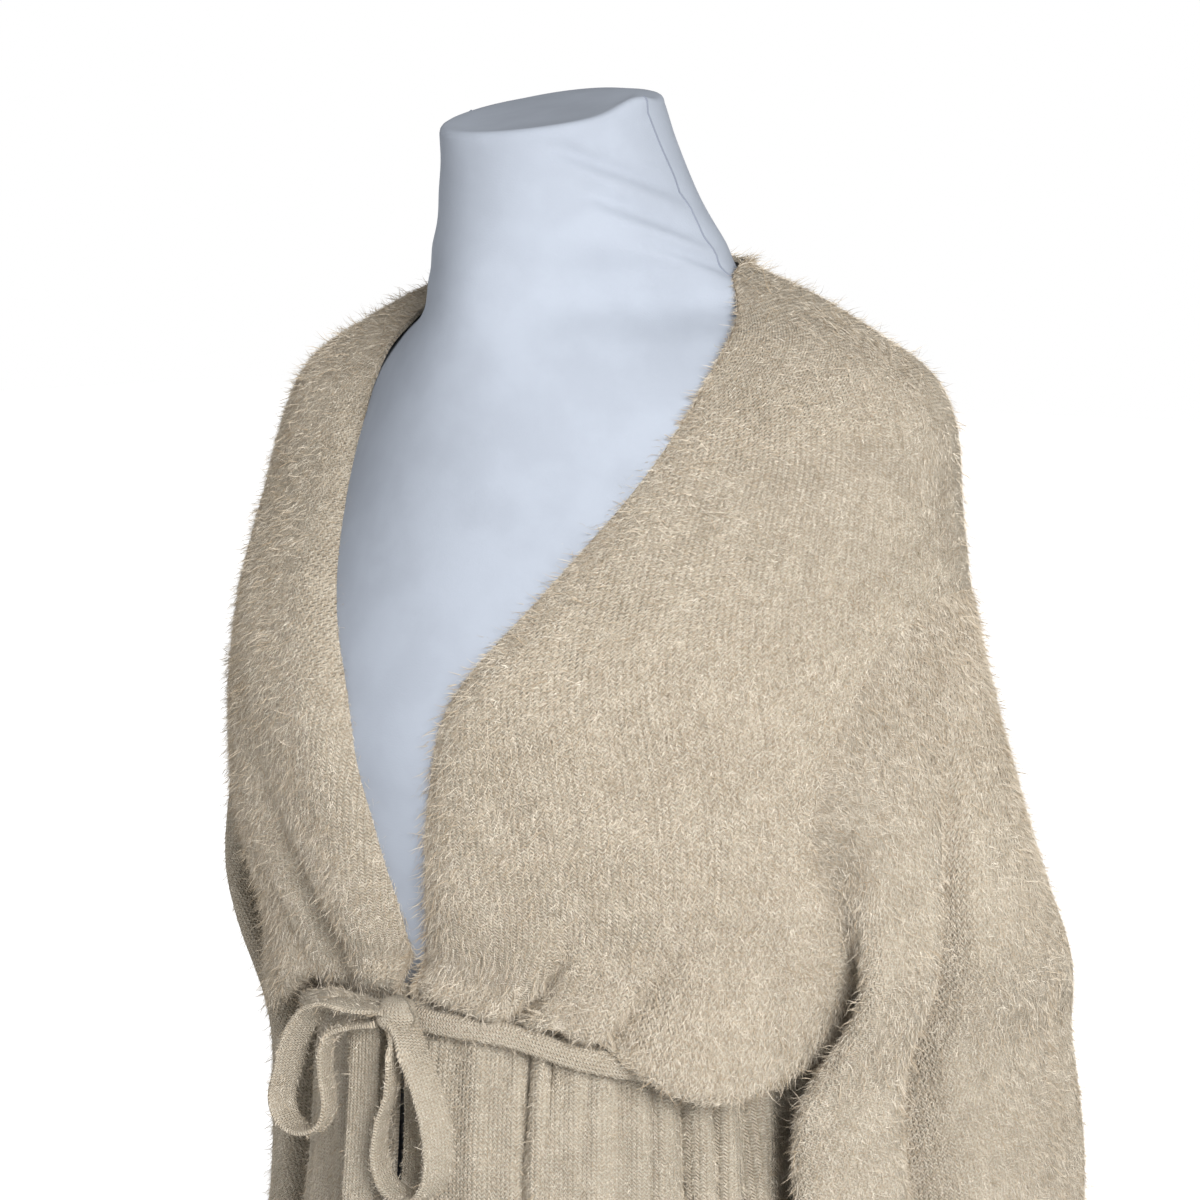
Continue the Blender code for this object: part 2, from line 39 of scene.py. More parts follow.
# The front edge rolls in between these levels.
EDGE_ROLL = 0.014
EDGE_ROLL_WIDTH = 0.02
EDGE_RADIUS = 0.135
EDGE_ROLL_STARTS = (1.5, 5.0)
EDGE_ROLL_ENDS = (9.5, 11.5)

# One row per ring of the bodice, from the neck to the waist seam.
# Columns: side_x, side_y, side_z, front_y, front_z, back_y, back_z, power, edge_x.
BODICE_RINGS = (
    (0.0855, 0.025, 0.7035, 0.006, 0.668, 0.076, 0.709, 1.0, 0.0855),
    (0.115, 0.025, 0.69, 0.017, 0.661, 0.092, 0.686, 1.0, 0.096),
    (0.149, 0.025, 0.673, 0.037, 0.652, 0.104, 0.658, 1.0, 0.101),
    (0.1795, 0.025, 0.656, 0.065, 0.619, 0.113, 0.627, 1.1, 0.098),
    (0.1945, 0.025, 0.632, 0.091, 0.591, 0.12, 0.593, 1.18, 0.084),
    (0.198, 0.026, 0.597, 0.125, 0.552, 0.126, 0.556, 1.18, 0.063),
    (0.2, 0.03, 0.557, 0.149, 0.507, 0.13, 0.515, 1.12, 0.034),
    (0.206, 0.036, 0.498, 0.145, 0.46, 0.132, 0.468, 1.06, 0.0165),
    (0.205, 0.04, 0.44, 0.139, 0.422, 0.13, 0.425, 1.04, 0.01),
    (0.188, 0.04, 0.387, 0.133, 0.397, 0.124, 0.386, 1.0, 0.007),
    (0.158, 0.031, 0.356, 0.129, 0.383, 0.116, 0.361, 0.98, 0.006),
    (0.14, 0.02, 0.343, 0.127, 0.3765, 0.106, 0.345, 1.0, 0.005),
    (0.131, 0.01, 0.3345, 0.1225, 0.37, 0.1, 0.3365, 1.0, 0.005),
)

# Where the bodice blouses over the tie.
BLOUSE_LEVEL = 10.0
BLOUSE_LEVEL_SPREAD = 0.55
# Columns: angle, spread, out, drop.
BLOUSES = (
    (38, 20, 0.013, 0.036),
    (4, 16, 0.0, 0.014),
    (142, 20, 0.013, 0.034),
    (176, 16, 0.0, 0.014),
    (-38, 20, 0.012, 0.02),
    (-90, 24, 0.008, 0.012),
    (-142, 20, 0.012, 0.02),
)

# The largest creases of the bodice, each a trough between two points. Narrow is the half width
# towards smaller angles, wide the one towards larger angles.
# Columns: top_angle, top_level, low_angle, low_level, narrow, wide, depth.
BODICE_CREASES = (
    (61, 8.2, 68, 12.0, 5.0, 5.0, 0.009),
    (44, 9.0, 58, 12.0, 4.5, 4.5, 0.006),
    (112, 7.6, 106, 12.0, 5.0, 5.0, 0.007),
    (135, 9.0, 122, 12.0, 4.5, 4.5, 0.006),
    (-62, 8.6, -66, 12.0, 5.0, 5.0, 0.006),
    (-104, 8.4, -98, 12.0, 5.0, 5.0, 0.006),
    (-128, 8.8, -122, 12.0, 5.0, 5.0, 0.006),
)
# Share of its run over which a crease deepens, and how much of it fades at the low end.
CREASE_RUN = (0.6, 0.6)
FINE_CREASE_RUN = (0.55, 0.7)

# One row per ring of the wearer's left sleeve below the armhole.
# Columns: x, y, z, half_length, half_thick, turn, tilt.
SLEEVE_RINGS = (
    (0.202, 0.036, 0.382, 0.071, 0.018, 82, 0.024),
    (0.181, 0.0525, 0.32, 0.0935, 0.025, 79, 0.01),
    (0.1805, 0.0625, 0.26, 0.1005, 0.026, 80, 0.004),
    (0.187, 0.0625, 0.195, 0.0935, 0.028, 81, 0.002),
    (0.207, 0.062, 0.13, 0.084, 0.029, 82, 0.0),
)
SLEEVE_ROWS = 78
SLEEVE_ROW_POWER = 1.1
# Troughs down the sleeve, which ease in and out. Columns: around, top, low, half_width, depth.
CREASE_EASE = 0.7
SLEEVE_CREASES = (
    (20, 0.9, 4.6, 13, 0.008),
    (21, 0.7, 4.9, 6, 0.023),
    (76, 0.5, 2.2, 16, -0.006),
    (44, 1.0, 4.9, 14, -0.003),
    (-48, 1.2, 4.2, 12, 0.005),
)

# One row per ring of the gathered skirt, from the waist seam to the hem.
# Columns: side_x, side_y, side_z, front_y, front_z, back_y, back_z, power, edge_x.
SKIRT_RINGS = (
    (0.131, 0.01, 0.3345, 0.1225, 0.37, 0.1, 0.3365, 1.0, 0.004),
    (0.134, 0.01, 0.3, 0.128, 0.325, 0.108, 0.3, 1.0, 0.0045),
    (0.138, 0.01, 0.245, 0.131, 0.256, 0.118, 0.245, 1.0, 0.007),
    (0.158, 0.01, 0.15, 0.135, 0.152, 0.136, 0.15, 1.0, 0.013),
    (0.174, 0.01, 0.05, 0.14, 0.05, 0.148, 0.05, 1.0, 0.02),
)
SKIRT_ROWS = 38
SKIRT_STEP = 0.75
# Columns: angle, half_width, depth, reach.
GATHERS = (
    (79, 3.6, 0.0045, 0.6),
    (68, 3.8, 0.0065, 0.9),
    (57, 3.4, 0.005, 0.5),
    (44, 3.8, 0.0065, 1.2),
    (31, 4.0, 0.0075, 1.4),
    (18, 3.6, 0.006, 0.8),
    (6, 3.6, 0.0065, 1.0),
    (-8, 3.8, 0.006, 0.9),
    (-21, 3.6, 0.007, 1.3),
    (-33, 3.6, 0.0055, 0.6),
    (-47, 4.0, 0.007, 1.1),
    (-60, 3.6, 0.0055, 0.7),
    (-72, 3.8, 0.0065, 1.2),
    (-86, 3.6, 0.006, 0.8),
    (-98, 3.8, 0.007, 1.3),
    (-111, 3.6, 0.0055, 0.6),
    (-124, 4.0, 0.007, 1.0),
    (-137, 3.6, 0.006, 0.7),
    (-149, 3.8, 0.0065, 1.2),
    (-163, 3.6, 0.006, 0.9),
    (-175, 3.6, 0.0065, 1.0),
    (171, 3.8, 0.006, 0.8),
    (159, 3.6, 0.007, 1.3),
    (146, 3.8, 0.0065, 0.9),
    (133, 3.6, 0.0055, 0.6),
    (121, 3.8, 0.007, 1.2),
    (110, 3.6, 0.0055, 0.7),
    (100, 3.4, 0.0045, 0.9),
)

# The tie straps, rolled where they circle the waist and flat where they hang.
BELT_DROP = 0.01
BELT_STAND_OFF = 0.0072
BELT_WIDTH = 0.011
BELT_THICK = 0.005
BELT_SWELL = 1.3
BELT_ANGLES = (83.0, 5.0)
KNOT_CENTRE = (0.005, -0.14, 0.362)
KNOT_RADII = (0.009, 0.008, 0.0085)
KNOT_SWELL = 1.12
STRAP_WIDTH = 0.017
STRAP_THICK = 0.0034
LOOP_STAND_OFF = 0.0085
# Loops of the bow, from the knot and back into it. Columns: x, z.
LEFT_LOOP = (
    (0.003, -0.002),
    (0.012, -0.009),
    (0.019, -0.019),
    (0.0255, -0.032),
    (0.03, -0.048),
    (0.0305, -0.065),
    (0.0245, -0.0775),
    (0.013, -0.082),
    (0.001, -0.0775),
    (-0.0045, -0.065),
    (-0.0025, -0.048),
    (0.003, -0.034),
    (0.005, -0.02),
    (0.005, -0.0125),
    (0.004, -0.006),
)
RIGHT_LOOP = (
    (-0.002, 0.003),
    (-0.015, 0.0025),
    (-0.033, 0.003),
    (-0.047, -0.005),
    (-0.056, -0.019),
    (-0.061, -0.034),
    (-0.065, -0.048),
    (-0.061, -0.0585),
    (-0.05, -0.0615),
    (-0.039, -0.056),
    (-0.035, -0.045),
    (-0.037, -0.031),
    (-0.036, -0.018),
    (-0.029, -0.0095),
    (-0.008, -0.004),
)
# Free ends of the tie. Columns: x, top_z, low_z, stand_off.
LEFT_TAIL = (0.011, 0.35, 0.165, 0.0045)
RIGHT_TAIL = (-0.0165, 0.366, 0.145, 0.013)

# One row per level of the dress form. Bell draws the section's corners in towards the shoulders.
# Columns: z, width, front, back, side_y, bell.
FORM_LEVELS = (
    (0.0, 0.148, 0.105, 0.114, 0.01, 0.0),
    (0.05, 0.155, 0.11, 0.124, 0.01, 0.0),
    (0.095, 0.156, 0.113, 0.127, 0.01, 0.0),
    (0.15, 0.147, 0.112, 0.121, 0.01, 0.0),
    (0.215, 0.128, 0.108, 0.105, 0.008, 0.0),
    (0.29, 0.112, 0.102, 0.088, 0.006, 0.0),
    (0.345, 0.119, 0.109, 0.09, 0.006, 0.0),
    (0.395, 0.134, 0.12, 0.098, 0.008, 0.0),
    (0.44, 0.143, 0.131, 0.105, 0.01, 0.0),
    (0.485, 0.15, 0.138, 0.11, 0.014, 0.05),
    (0.522, 0.16, 0.134, 0.112, 0.018, 0.15),
    (0.56, 0.172, 0.121, 0.112, 0.021, 0.35),
    (0.6, 0.181, 0.104, 0.107, 0.024, 0.6),
    (0.632, 0.181, 0.093, 0.103, 0.025, 0.84),
    (0.651, 0.17, 0.088, 0.098, 0.025, 0.92),
    (0.668, 0.143, 0.084, 0.092, 0.025, 0.92),
    (0.684, 0.1045, 0.08, 0.086, 0.022, 0.84),
    (0.699, 0.0805, 0.076, 0.079, 0.017, 0.42),
    (0.716, 0.0725, 0.0725, 0.069, 0.01, 0.08),
    (0.736, 0.063, 0.07, 0.053, 0.003, 0.0),
    (0.757, 0.057, 0.0692, 0.041, -0.006, 0.0),
    (0.774, 0.054, 0.0708, 0.035, -0.013, 0.0),
)
BACK_BELL = 0.4
FORM_ROWS = 130
FORM_ROUND = 120
CAP_SLOPE = 0.22
CAP_SLANT_DEPTH = 0.055
CAP_ROUND = 0.004
# Columns: inset and rise in shares of the round, share of the bump.
CAP_RINGS = (
    (0.1, 0.45, 0.9),
    (0.3, 0.75, 1.0),
    (0.6, 0.92, 1.0),
    (1.0, 1.0, 1.0),
    (3.0, 1.02, 0.3),
)

# Small folds of the bodice, in the same columns as its creases.
FINE_CREASES = (
    (63, 8.2, 69.5, 11.8, 1.7, 1.5, 0.018),
    (64, 7.8, 69.5, 11.6, 5.5, 5, -0.009),
    (47, 8.4, 62.5, 11.6, 3.2, 1.3, 0.017),
    (50, 8.4, 65, 11.4, 3.5, 4.5, -0.0075),
    (70, 7.6, 60, 9, 6, 7, 0.003),
    (78, 10, 79, 12, 2.4, 2.4, 0.002),
    (28, 10, 44, 12, 3.4, 2, 0.004),
    (119, 6.7, 105.5, 9.8, 3.6, 4.6, 0.008),
    (126, 7.6, 116, 10.4, 4, 4, 0.0035),
    (118, 9.6, 110, 12, 2.6, 2.6, 0.003),
    (140, 10, 126, 12, 2.6, 2.6, 0.004),
    (-70, 9.4, -72, 12, 3, 2.2, 0.004),
    (-84, 9, -82, 12, 2.2, 3, 0.0045),
    (-112, 9.2, -108, 12, 3, 2.2, 0.004),
)
# Where the cloth bags lower over the tie. Columns: angle, spread, out, drop.
FINE_BLOUSE_LEVEL = 10.9
FINE_BLOUSE_SPREAD = 0.65
FINE_BLOUSES = (
    (72, 20, 0.0045, 0.009),
    (110, 16, 0.004, 0.008),
    (-60, 22, 0.0035, 0.006),
    (-115, 22, 0.0035, 0.006),
)
# Short puckers above the tie, between these levels. Columns: angle, half_width, depth.
PUCKER_LEVELS = (10.4, 11.7)
TIE_PUCKERS = (
    (84, 1.8, 0.001),
    (41, 2.0, 0.0016),
    (104, 1.8, 0.0012),
    (132, 1.8, 0.0016),
    (-50, 1.8, 0.0016),
    (-92, 1.8, 0.0016),
    (-118, 1.8, 0.0014),
    (-134, 1.8, 0.0016),
)
# The neck edge lies on the form.
NECK_DRAW = 0.0055
NECK_DRAW_LEVELS = 1.3
# Slow unevenness of the cloth. Columns: turns, waves, phase, height.
BODICE_SWELLS = (
    (3.0, 0.9, 0.4, 0.0012),
    (5.0, 1.4, 2.1, 0.0008),
)
SKIRT_SWELLS = (
    (9.0, 0.8, 0.7, 0.0016),
    (14.0, 1.3, 2.6, 0.001),
)
GATHER_DRIFT = 5.0
# Small gathers of the skirt. Columns: angle, half_width, depth, reach.
FINE_GATHERS = (
    (85, 1.6, 0.002, 0.3),
    (73, 1.8, 0.003, 0.35),
    (63.5, 1.4, 0.012, 0.6),
    (61.5, 1.4, -0.0035, 0.25),
    (59.3, 1.1, 0.009, 0.25),
    (51, 1.7, 0.005, 0.35),
    (45, 1.5, 0.0045, 0.3),
    (38, 1.6, 0.007, 0.5),
    (31, 1.5, 0.0115, 0.6),
    (24.5, 1.5, 0.012, 0.8),
    (14, 1.6, 0.013, 0.7),
    (2, 1.6, 0.005, 0.4),
    (-14, 1.7, 0.005, 0.4),
    (-27, 1.5, 0.0032, 0.25),
    (-40, 1.8, 0.006, 0.55),
    (-54, 1.5, 0.0036, 0.3),
    (-66, 1.7, 0.005, 0.45),
    (-79, 1.5, 0.0036, 0.25),
    (-92, 1.8, 0.006, 0.5),
    (-105, 1.5, 0.0034, 0.3),
    (-118, 1.7, 0.005, 0.45),
    (-130, 1.5, 0.0036, 0.25),
    (-143, 1.8, 0.0058, 0.55),
    (-156, 1.5, 0.0034, 0.3),
    (-169, 1.7, 0.0048, 0.4),
    (177, 1.6, 0.004, 0.3),
    (165, 1.8, 0.0058, 0.55),
    (153, 1.5, 0.0034, 0.25),
    (139, 1.7, 0.005, 0.45),
    (127, 1.5, 0.004, 0.3),
    (116, 1.7, 0.0055, 0.5),
    (105, 1.5, 0.0032, 0.3),
    (95, 1.5, 0.0022, 0.25),
)
# Pulled jersey at the form's neck. Columns: start_turn, start_z, end_turn, end_z, half_width, depth.
FORM_WRINKLES = (
    (50, 0.757, 4, 0.738, 0.004, 0.0028),
    (42, 0.736, 4, 0.717, 0.0045, 0.003),
    (30, 0.716, 2, 0.703, 0.004, 0.0024),
    (150, 0.752, 176, 0.736, 0.004, 0.0012),
)
# Where the form's neck swells into the shoulder. Columns: turn, spread, z, height, out.
NECK_SWELLS = (
    (143, 45, 0.69, 0.016, 0.008),
    (143, 45, 0.722, 0.012, -0.0025),
)
CAP_BUMP = 0.0045
CAP_BUMP_TURN = 6
CAP_BUMP_SPREAD = 16
SEAM_BEAD = 0.0005
SEAM_FIRST = 60
SEAM_LAST = FORM_ROWS + 3

# How finely the cloth is made.
FRONT_COLUMNS = 110
BACK_COLUMNS = 100
STRAP_SIDES = 14
STRAP_STEPS = 90
LOOP_STEPS = 110
KNOT_ROWS = 28
KNOT_COLUMNS = 40
SHARP_ANGLE = 65

# How the knit is laid out flat on the cloth.
UV_LEVELS = 97
UV_ANGLE = 60.0
BODICE_RADIUS = 0.16
SKIRT_RADIUS = 0.15

# The brushed pile. Lift is how far a hair stands up, against how far it lies along the cloth.
LONG_SHARE = 0.07
LONG_HAIR = {"lift": (0.4, 2.0), "length": (0.005, 0.011), "width": (0.00009, 0.00015)}
SHORT_HAIR = {"lift": (0.08, 0.75), "length": (0.0022, 0.0056), "width": (0.0001, 0.00017)}
LONG_SHADE = 0.6
SKIRT_REACH = 0.7
STRAP_REACH = 0.55
ROOT_LIFT = 0.45 * WALL
EDGE_SHARE = 0.05
EDGE_GAP = 0.02
# Denser pile where a sleeve leaves the armhole.
SEAM_PILE = 1.3
SEAM_PILE_ROWS = 9.0
STRAP_HAIRS = 3000
HAIRS = {
    "bodice_back": 58000,
    "bodice_front_left": 96000,
    "bodice_front_right": 70000,
    "sleeve_left": 142000,
    "sleeve_right": 44000,
    "skirt_back": 44000,
    "skirt_front_left": 50000,
    "skirt_front_right": 40000,
}
# Flat cut of each piece: width and length, with the area where it isn't a rectangle.
CUTS = {
    "bodice_back": (0.47, 0.4, 0.157),
    "bodice_front_left": (0.27, 0.42, 0.069),
    "bodice_front_right": (0.27, 0.42, 0.069),
    "sleeve_left": (0.42, 0.38, 0.14),
    "sleeve_right": (0.42, 0.38, 0.14),
    "skirt_back": (0.52, 0.29, 0.125),
    "skirt_front_left": (0.26, 0.31, 0.067),
    "skirt_front_right": (0.26, 0.31, 0.067),
    "tie_left": (0.013, 0.2),
    "tie_right": (0.013, 0.2),
    "bow_loop_left": (0.018, 0.19),
    "bow_loop_right": (0.018, 0.19),
    "tie_tail_left": (0.018, 0.186),
    "tie_tail_right": (0.018, 0.222),
}

# Colours and scales of the materials. Stitch columns: width, bump, share left bare by the fibres.
KNIT_STITCH = (0.0024, 0.0012, 0.8)
TIE_STITCH = (0.0019, 0.001, 0.9)
COURSE_SHARE = 0.8
LEG_SLANT = 1.3
PATCH_SCALE = 62.0
GRAIN_SCALE = 800.0
WEAVE_SCALE = 1100.0
LINT_SCALE = 30.0
LINT_SHADE = 0.93
# Painted shade: the dark brown below is mixed into the pits of the fine grain and the hollows of the
# stitches.
KNIT_PIT_SHADE = (0.23, 0.165, 0.1, 1.0)
KNIT_MID = (0.46, 0.414, 0.34, 1.0)
KNIT_LIGHT = (0.52, 0.475, 0.4, 1.0)
KNIT_SHEEN = (0.9, 0.84, 0.72, 1.0)
TIE_MID = (0.48, 0.43, 0.352, 1.0)
HAIR_DARK = (0.32, 0.25, 0.17, 1.0)
HAIR_LIGHT = (0.74, 0.685, 0.595, 1.0)
JERSEY = (0.3, 0.33, 0.385, 1.0)
SEAM_GREY = (0.19, 0.21, 0.26, 1.0)
WHITE = (1.0, 1.0, 1.0, 1.0)

# Camera and studio. Floor and wall are white in a sector behind the garment.
CAMERA_EYE = (0.8425, -1.1181, 0.72)
CAMERA_AIM = (0.0, 0.0, 0.54)
CAMERA_LENS = 86.1
CAMERA_SENSOR = 36.0
CAMERA_SHIFT = 0.0233
BEHIND = (-0.6, 0.8)
FLOOR_HALF = 9.0
FLOOR_GREY = (0.65, 0.65, 0.65, 1.0)
FLOOR_WHITE = (0.9, 0.9, 0.9, 1.0)
FLOOR_GLOW = 0.85
FLOOR_SECTOR = (0.45, 0.85)
FLOOR_FADE = (0.3, 0.8)
WALL_SECTOR = (0.6, 0.85)
WALL_FADE = (0.12, 0.45)
SKY = 0.36
# Columns: name, place, aim, size, power, colour.
LIGHTS = (
    ("key", (2.3, -1.7, 1.4), (0.0, 0.0, 0.42), 1.0, 144.0, (1.0, 0.99, 0.97)),
    ("fill", (-1.3, -1.9, 0.7), (0.0, 0.0, 0.35), 1.6, 15.0, (1.0, 1.0, 1.0)),
)


def unit(vectors):
    return vectors / np.linalg.norm(vectors, axis=-1, keepdims=True)


def smooth(low, high, value):
    part = np.clip((value - low) / (high - low), 0.0, 1.0)
    return part * part * (3 - 2 * part)


def bell(value, width):
    """Soft bump that is 1 at zero and falls away beyond its width."""
    return np.exp(-((value / width) ** 2))


def through_rows(rows, slope, at):
    """Smooth curve through equally spaced rows with the given slopes."""
    low = np.minimum(at.astype(int), len(rows) - 2)
    part = (at - low).reshape(at.shape + (1,) * (rows.ndim - 1))
    start = (2 * part**3 - 3 * part**2 + 1) * rows[low]
    leave = (part**3 - 2 * part**2 + part) * slope[low]
    reach = (3 * part**2 - 2 * part**3) * rows[low + 1]
    arrive = (part**3 - part**2) * slope[low + 1]
    return start + leave + reach + arrive


def spline(rows, at):
    """Smooth curve through equally spaced rows of numbers."""
    rows = np.asarray(rows, float)
    at = np.clip(np.asarray(at, float), 0, len(rows) - 1)
    return through_rows(rows, np.gradient(rows, axis=0), at)


def turn_between(angle, other):
    return (angle - other + 180) % 360 - 180


def outward(angle):
    turn = np.radians(angle)
    return np.stack([np.cos(turn), -np.sin(turn), 0 * turn], -1)


def ring_point(rings, angle, level):
    """Point of a rounded garment ring."""
    width, side_y, side_z, front_y, front_z, back_y, back_z, power, _ = np.moveaxis(
        spline(rings, level), -1, 0
    )
    turn = np.radians(angle)
    across = np.cos(turn)
    along = np.sin(turn)
    reach = np.abs(along) ** power
    ahead = along > 0
    x = width * np.sign(across) * np.abs(across) ** power
    y = side_y + np.where(ahead, -front_y - side_y, back_y - side_y) * reach
    z = side_z + np.where(ahead, front_z - side_z, back_z - side_z) * along**2
    return np.stack([x, y, z], -1)


def edge_angle(rings, level):
    """Angle at which the wearer's left front edge crosses a ring."""
    row = spline(rings, level)
    share = np.clip(row[..., 8] / row[..., 0], 0.0, 1.0)
    return np.degrees(np.arccos(share ** (1 / row[..., 7])))


def crease_depth(creases, rise, fade, angle, level):
    """Depth of troughs that deepen over a share of their run and fade at the low end."""
    total = 0.0 * angle
    for top_angle, top_level, low_angle, low_level, narrow, wide, depth in creases:
        along = np.clip((level - top_level) / (low_level - top_level), 0.0, 1.0)
        gap = turn_between(angle, top_angle + (low_angle - top_angle) * along)
        strength = smooth(0.0, rise, along) * (1 - fade * smooth(0.8, 1.0, along))
        total = total + depth * strength * bell(gap, np.where(gap < 0, narrow, wide))
    return total


def blousing(blouses, at_level, level_spread, angle, level):
    """How far out and down the bodice bags near a level."""
    near = bell(level - at_level, level_spread)
    out = 0.0 * angle
    drop = 0.0 * angle
    for centre, spread, blouse_out, blouse_drop in blouses:
        share = near * bell(turn_between(angle, centre), spread)
        out = out + blouse_out * share
        drop = drop + blouse_drop * share
    return out, drop


def bodice_point(angle, level):
    """Middle of the bodice's wall."""
    point = ring_point(BODICE_RINGS, angle, level)
    bag_out, drop = blousing(BLOUSES, BLOUSE_LEVEL, BLOUSE_LEVEL_SPREAD, angle, level)
    out = bag_out - crease_depth(BODICE_CREASES, *CREASE_RUN, angle, level)
    edge = edge_angle(BODICE_RINGS, level)
    ahead = (angle > 0) & (angle < 180)
    inside = np.where(ahead, np.maximum(edge - angle, angle - 180 + edge), 90)
    apart = np.clip(1 - np.radians(inside) * EDGE_RADIUS / EDGE_ROLL_WIDTH, 0.0, 1.0)
    rolled = smooth(*EDGE_ROLL_STARTS, level) * (1 - 0.8 * smooth(*EDGE_ROLL_ENDS, level))
    out = out - EDGE_ROLL * apart**2 * rolled
    return point + outward(angle) * out[..., None] - UP * drop[..., None]


def skirt_point(angle, level):
    """Middle of the gathered skirt's wall."""
    point = ring_point(SKIRT_RINGS, angle, level)
    fall = level / (len(SKIRT_RINGS) - 1)
    out = 0.0 * angle
    for centre, half_width, depth, reach in GATHERS:
        spread = half_width * (1 + 0.5 * fall)
        strength = (0.55 + 0.45 * smooth(0.0, 0.15, fall)) * bell(fall, reach)
        out = out - depth * strength * bell(turn_between(angle, centre), spread)
    return point + outward(angle) * out[..., None]


def surface_normals(surface, angle, level, levels):
    """Unit normals of a surface given by angle and level, facing out of the garment."""
    turn = 0.4
    step = 0.25
    low = np.clip(level - step, 0, levels)
    high = np.clip(level + step, 0, levels)
    around = surface(angle + turn, level) - surface(angle - turn, level)
    down = surface(angle, high) - surface(angle, low)
    return unit(np.cross(around, down))


def mirrored(points):
    return points * np.array([-1.0, 1.0, 1.0])


def arm_levels(turn):
    """Levels round the armhole, from the shoulder to the underarm."""
    return SHOULDER_END + (UNDERARM - SHOULDER_END) * (1 - np.cos(turn)) / 2


def front_grid(columns):
    """Angles and levels of the left front: shoulder seam, front edge, waist, armhole and side."""
    across = np.linspace(0.0, 1.0, columns)
    turn = np.linspace(0.0, np.pi, ARM_STEPS + 1)
    beside_arm = np.linspace(0.0, UNDERARM / WAIST, ARM_STEPS + 1)
    below_arm = np.linspace(UNDERARM / WAIST, 1.0, SIDE_STEPS + 1)[1:]
    down = np.concatenate([beside_arm, below_arm])
    side_level = np.linspace(UNDERARM, WAIST, SIDE_STEPS + 1)[1:]
    right_angle = np.concatenate([ARM_REACH["front"] * np.sin(turn), 0 * side_level])
    right = np.stack([right_angle, np.concatenate([arm_levels(turn), side_level])], -1)
    left_level = WAIST * down
    left = np.stack([edge_angle(BODICE_RINGS, left_level), left_level], -1)
    top = np.stack([0 * across, SHOULDER_END * across], -1)
    low_angle = left[-1, 0] * (1 - across)
    low = np.stack([low_angle, WAIST + 0 * across], -1)
    u = across[None, :, None]
    v = down[:, None, None]
    blend = (1 - u) * left[:, None] + u * right[:, None] + (1 - v) * top[None] + v * low[None]
    corners = (1 - v) * ((1 - u) * top[0] + u * top[-1]) + v * ((1 - u) * low[0] + u * low[-1])
    grid = blend - corners
    return grid[..., 0], grid[..., 1]


def back_grid(columns):
    """Angles and levels of the back, from the wearer's left shoulder, armhole and side to the right."""
    turn = np.linspace(0.0, np.pi, ARM_STEPS + 1)
    top_level = np.linspace(0.0, SHOULDER_END, TOP_STEPS + 1)[:-1]
    side_level = np.linspace(UNDERARM, WAIST, SIDE_STEPS + 1)[1:]
    level = np.concatenate([top_level, arm_levels(turn), side_level])
    start = np.concatenate([0 * top_level, ARM_REACH["back"] * np.sin(turn), 0 * side_level])
    across = np.linspace(0.0, 1.0, columns)[None, :]
    angle = start[:, None] + (-180 - 2 * start[:, None]) * across
    return angle, level[:, None] + 0 * across


def sleeve_grid():
    """Points and normals of the wearer's left sleeve, from the armhole to the open end."""
    half = np.linspace(0.0, np.pi, ARM_STEPS + 1)
    around = np.concatenate([half, np.pi + half[1:-1]])
    reach = np.where(around <= np.pi, ARM_REACH["front"], -ARM_REACH["back"])
    arm_angle = reach * np.sin(around)
    arm_level = arm_levels(around)
    armhole = bodice_cloth(arm_angle, arm_level)
    arm_normal = surface_normals(bodice_cloth, arm_angle, arm_level, WAIST)
    round_hole = np.roll(armhole, -1, axis=0) - np.roll(armhole, 1, axis=0)
    leave = unit(np.cross(arm_normal, round_hole))
    rings = [armhole]
    for x, y, z, half_length, half_thick, turn, tilt in SLEEVE_RINGS:
        ahead = np.array([-np.cos(np.radians(turn)), -np.sin(np.radians(turn)), 0.0])
        out = np.array([np.sin(np.radians(turn)), -np.cos(np.radians(turn)), 0.0])
        ring = np.array([x, y, z]) + half_thick * np.cos(around)[:, None] * out
        ring = ring + half_length * np.sin(around)[:, None] * ahead
        ring[:, 2] += tilt * np.cos(around)
        rings.append(ring)
    rings = np.stack(rings)
    slope = np.gradient(rings, axis=0)
    first = rings[1] - rings[0]
    length = np.linalg.norm(first, axis=-1, keepdims=True)
    slope[0] = 0.8 * np.maximum(length, ARM_LEAVE) * leave + 0.35 * first
    at = (len(rings) - 1) * np.linspace(0.0, 1.0, SLEEVE_ROWS + 1) ** SLEEVE_ROW_POWER
    points = through_rows(rings, slope, at)
    normals = tube_normals(points)
    inside = 0.0 * at[:, None] * around[None]
    for centre, top, low, half_width, depth in SLEEVE_CREASES:
        gap = turn_between(np.degrees(around), centre)[None]
        run = smooth(top - CREASE_EASE, top + CREASE_EASE, at) * (1 - smooth(low - 0.8, low + 0.4, at))
        inside = inside + depth * run[:, None] * bell(gap, half_width)
    points = points - normals * inside[..., None]
    normals = tube_normals(points)
    normals[0] = arm_normal
    return points, normals


def tube_normals(points):
    around = np.roll(points, -1, axis=1) - np.roll(points, 1, axis=1)
    down = np.gradient(points, axis=0)
    return unit(np.cross(around, down))


def form_section(level, turn):
    """Points round the form at one level."""
    z, width, front, back, side_y, bell = spline(FORM_LEVELS, level)
    across = np.cos(turn)
    along = np.sin(turn)
    depth = np.where(along > 0, front + side_y, back - side_y)
    drawn = np.where(along > 0, bell, BACK_BELL * bell)
    reach = np.sign(along) * ((1 - drawn) * np.abs(along) + drawn * along**4)
    return np.stack([width * across, side_y - depth * reach, z + 0 * turn], -1)


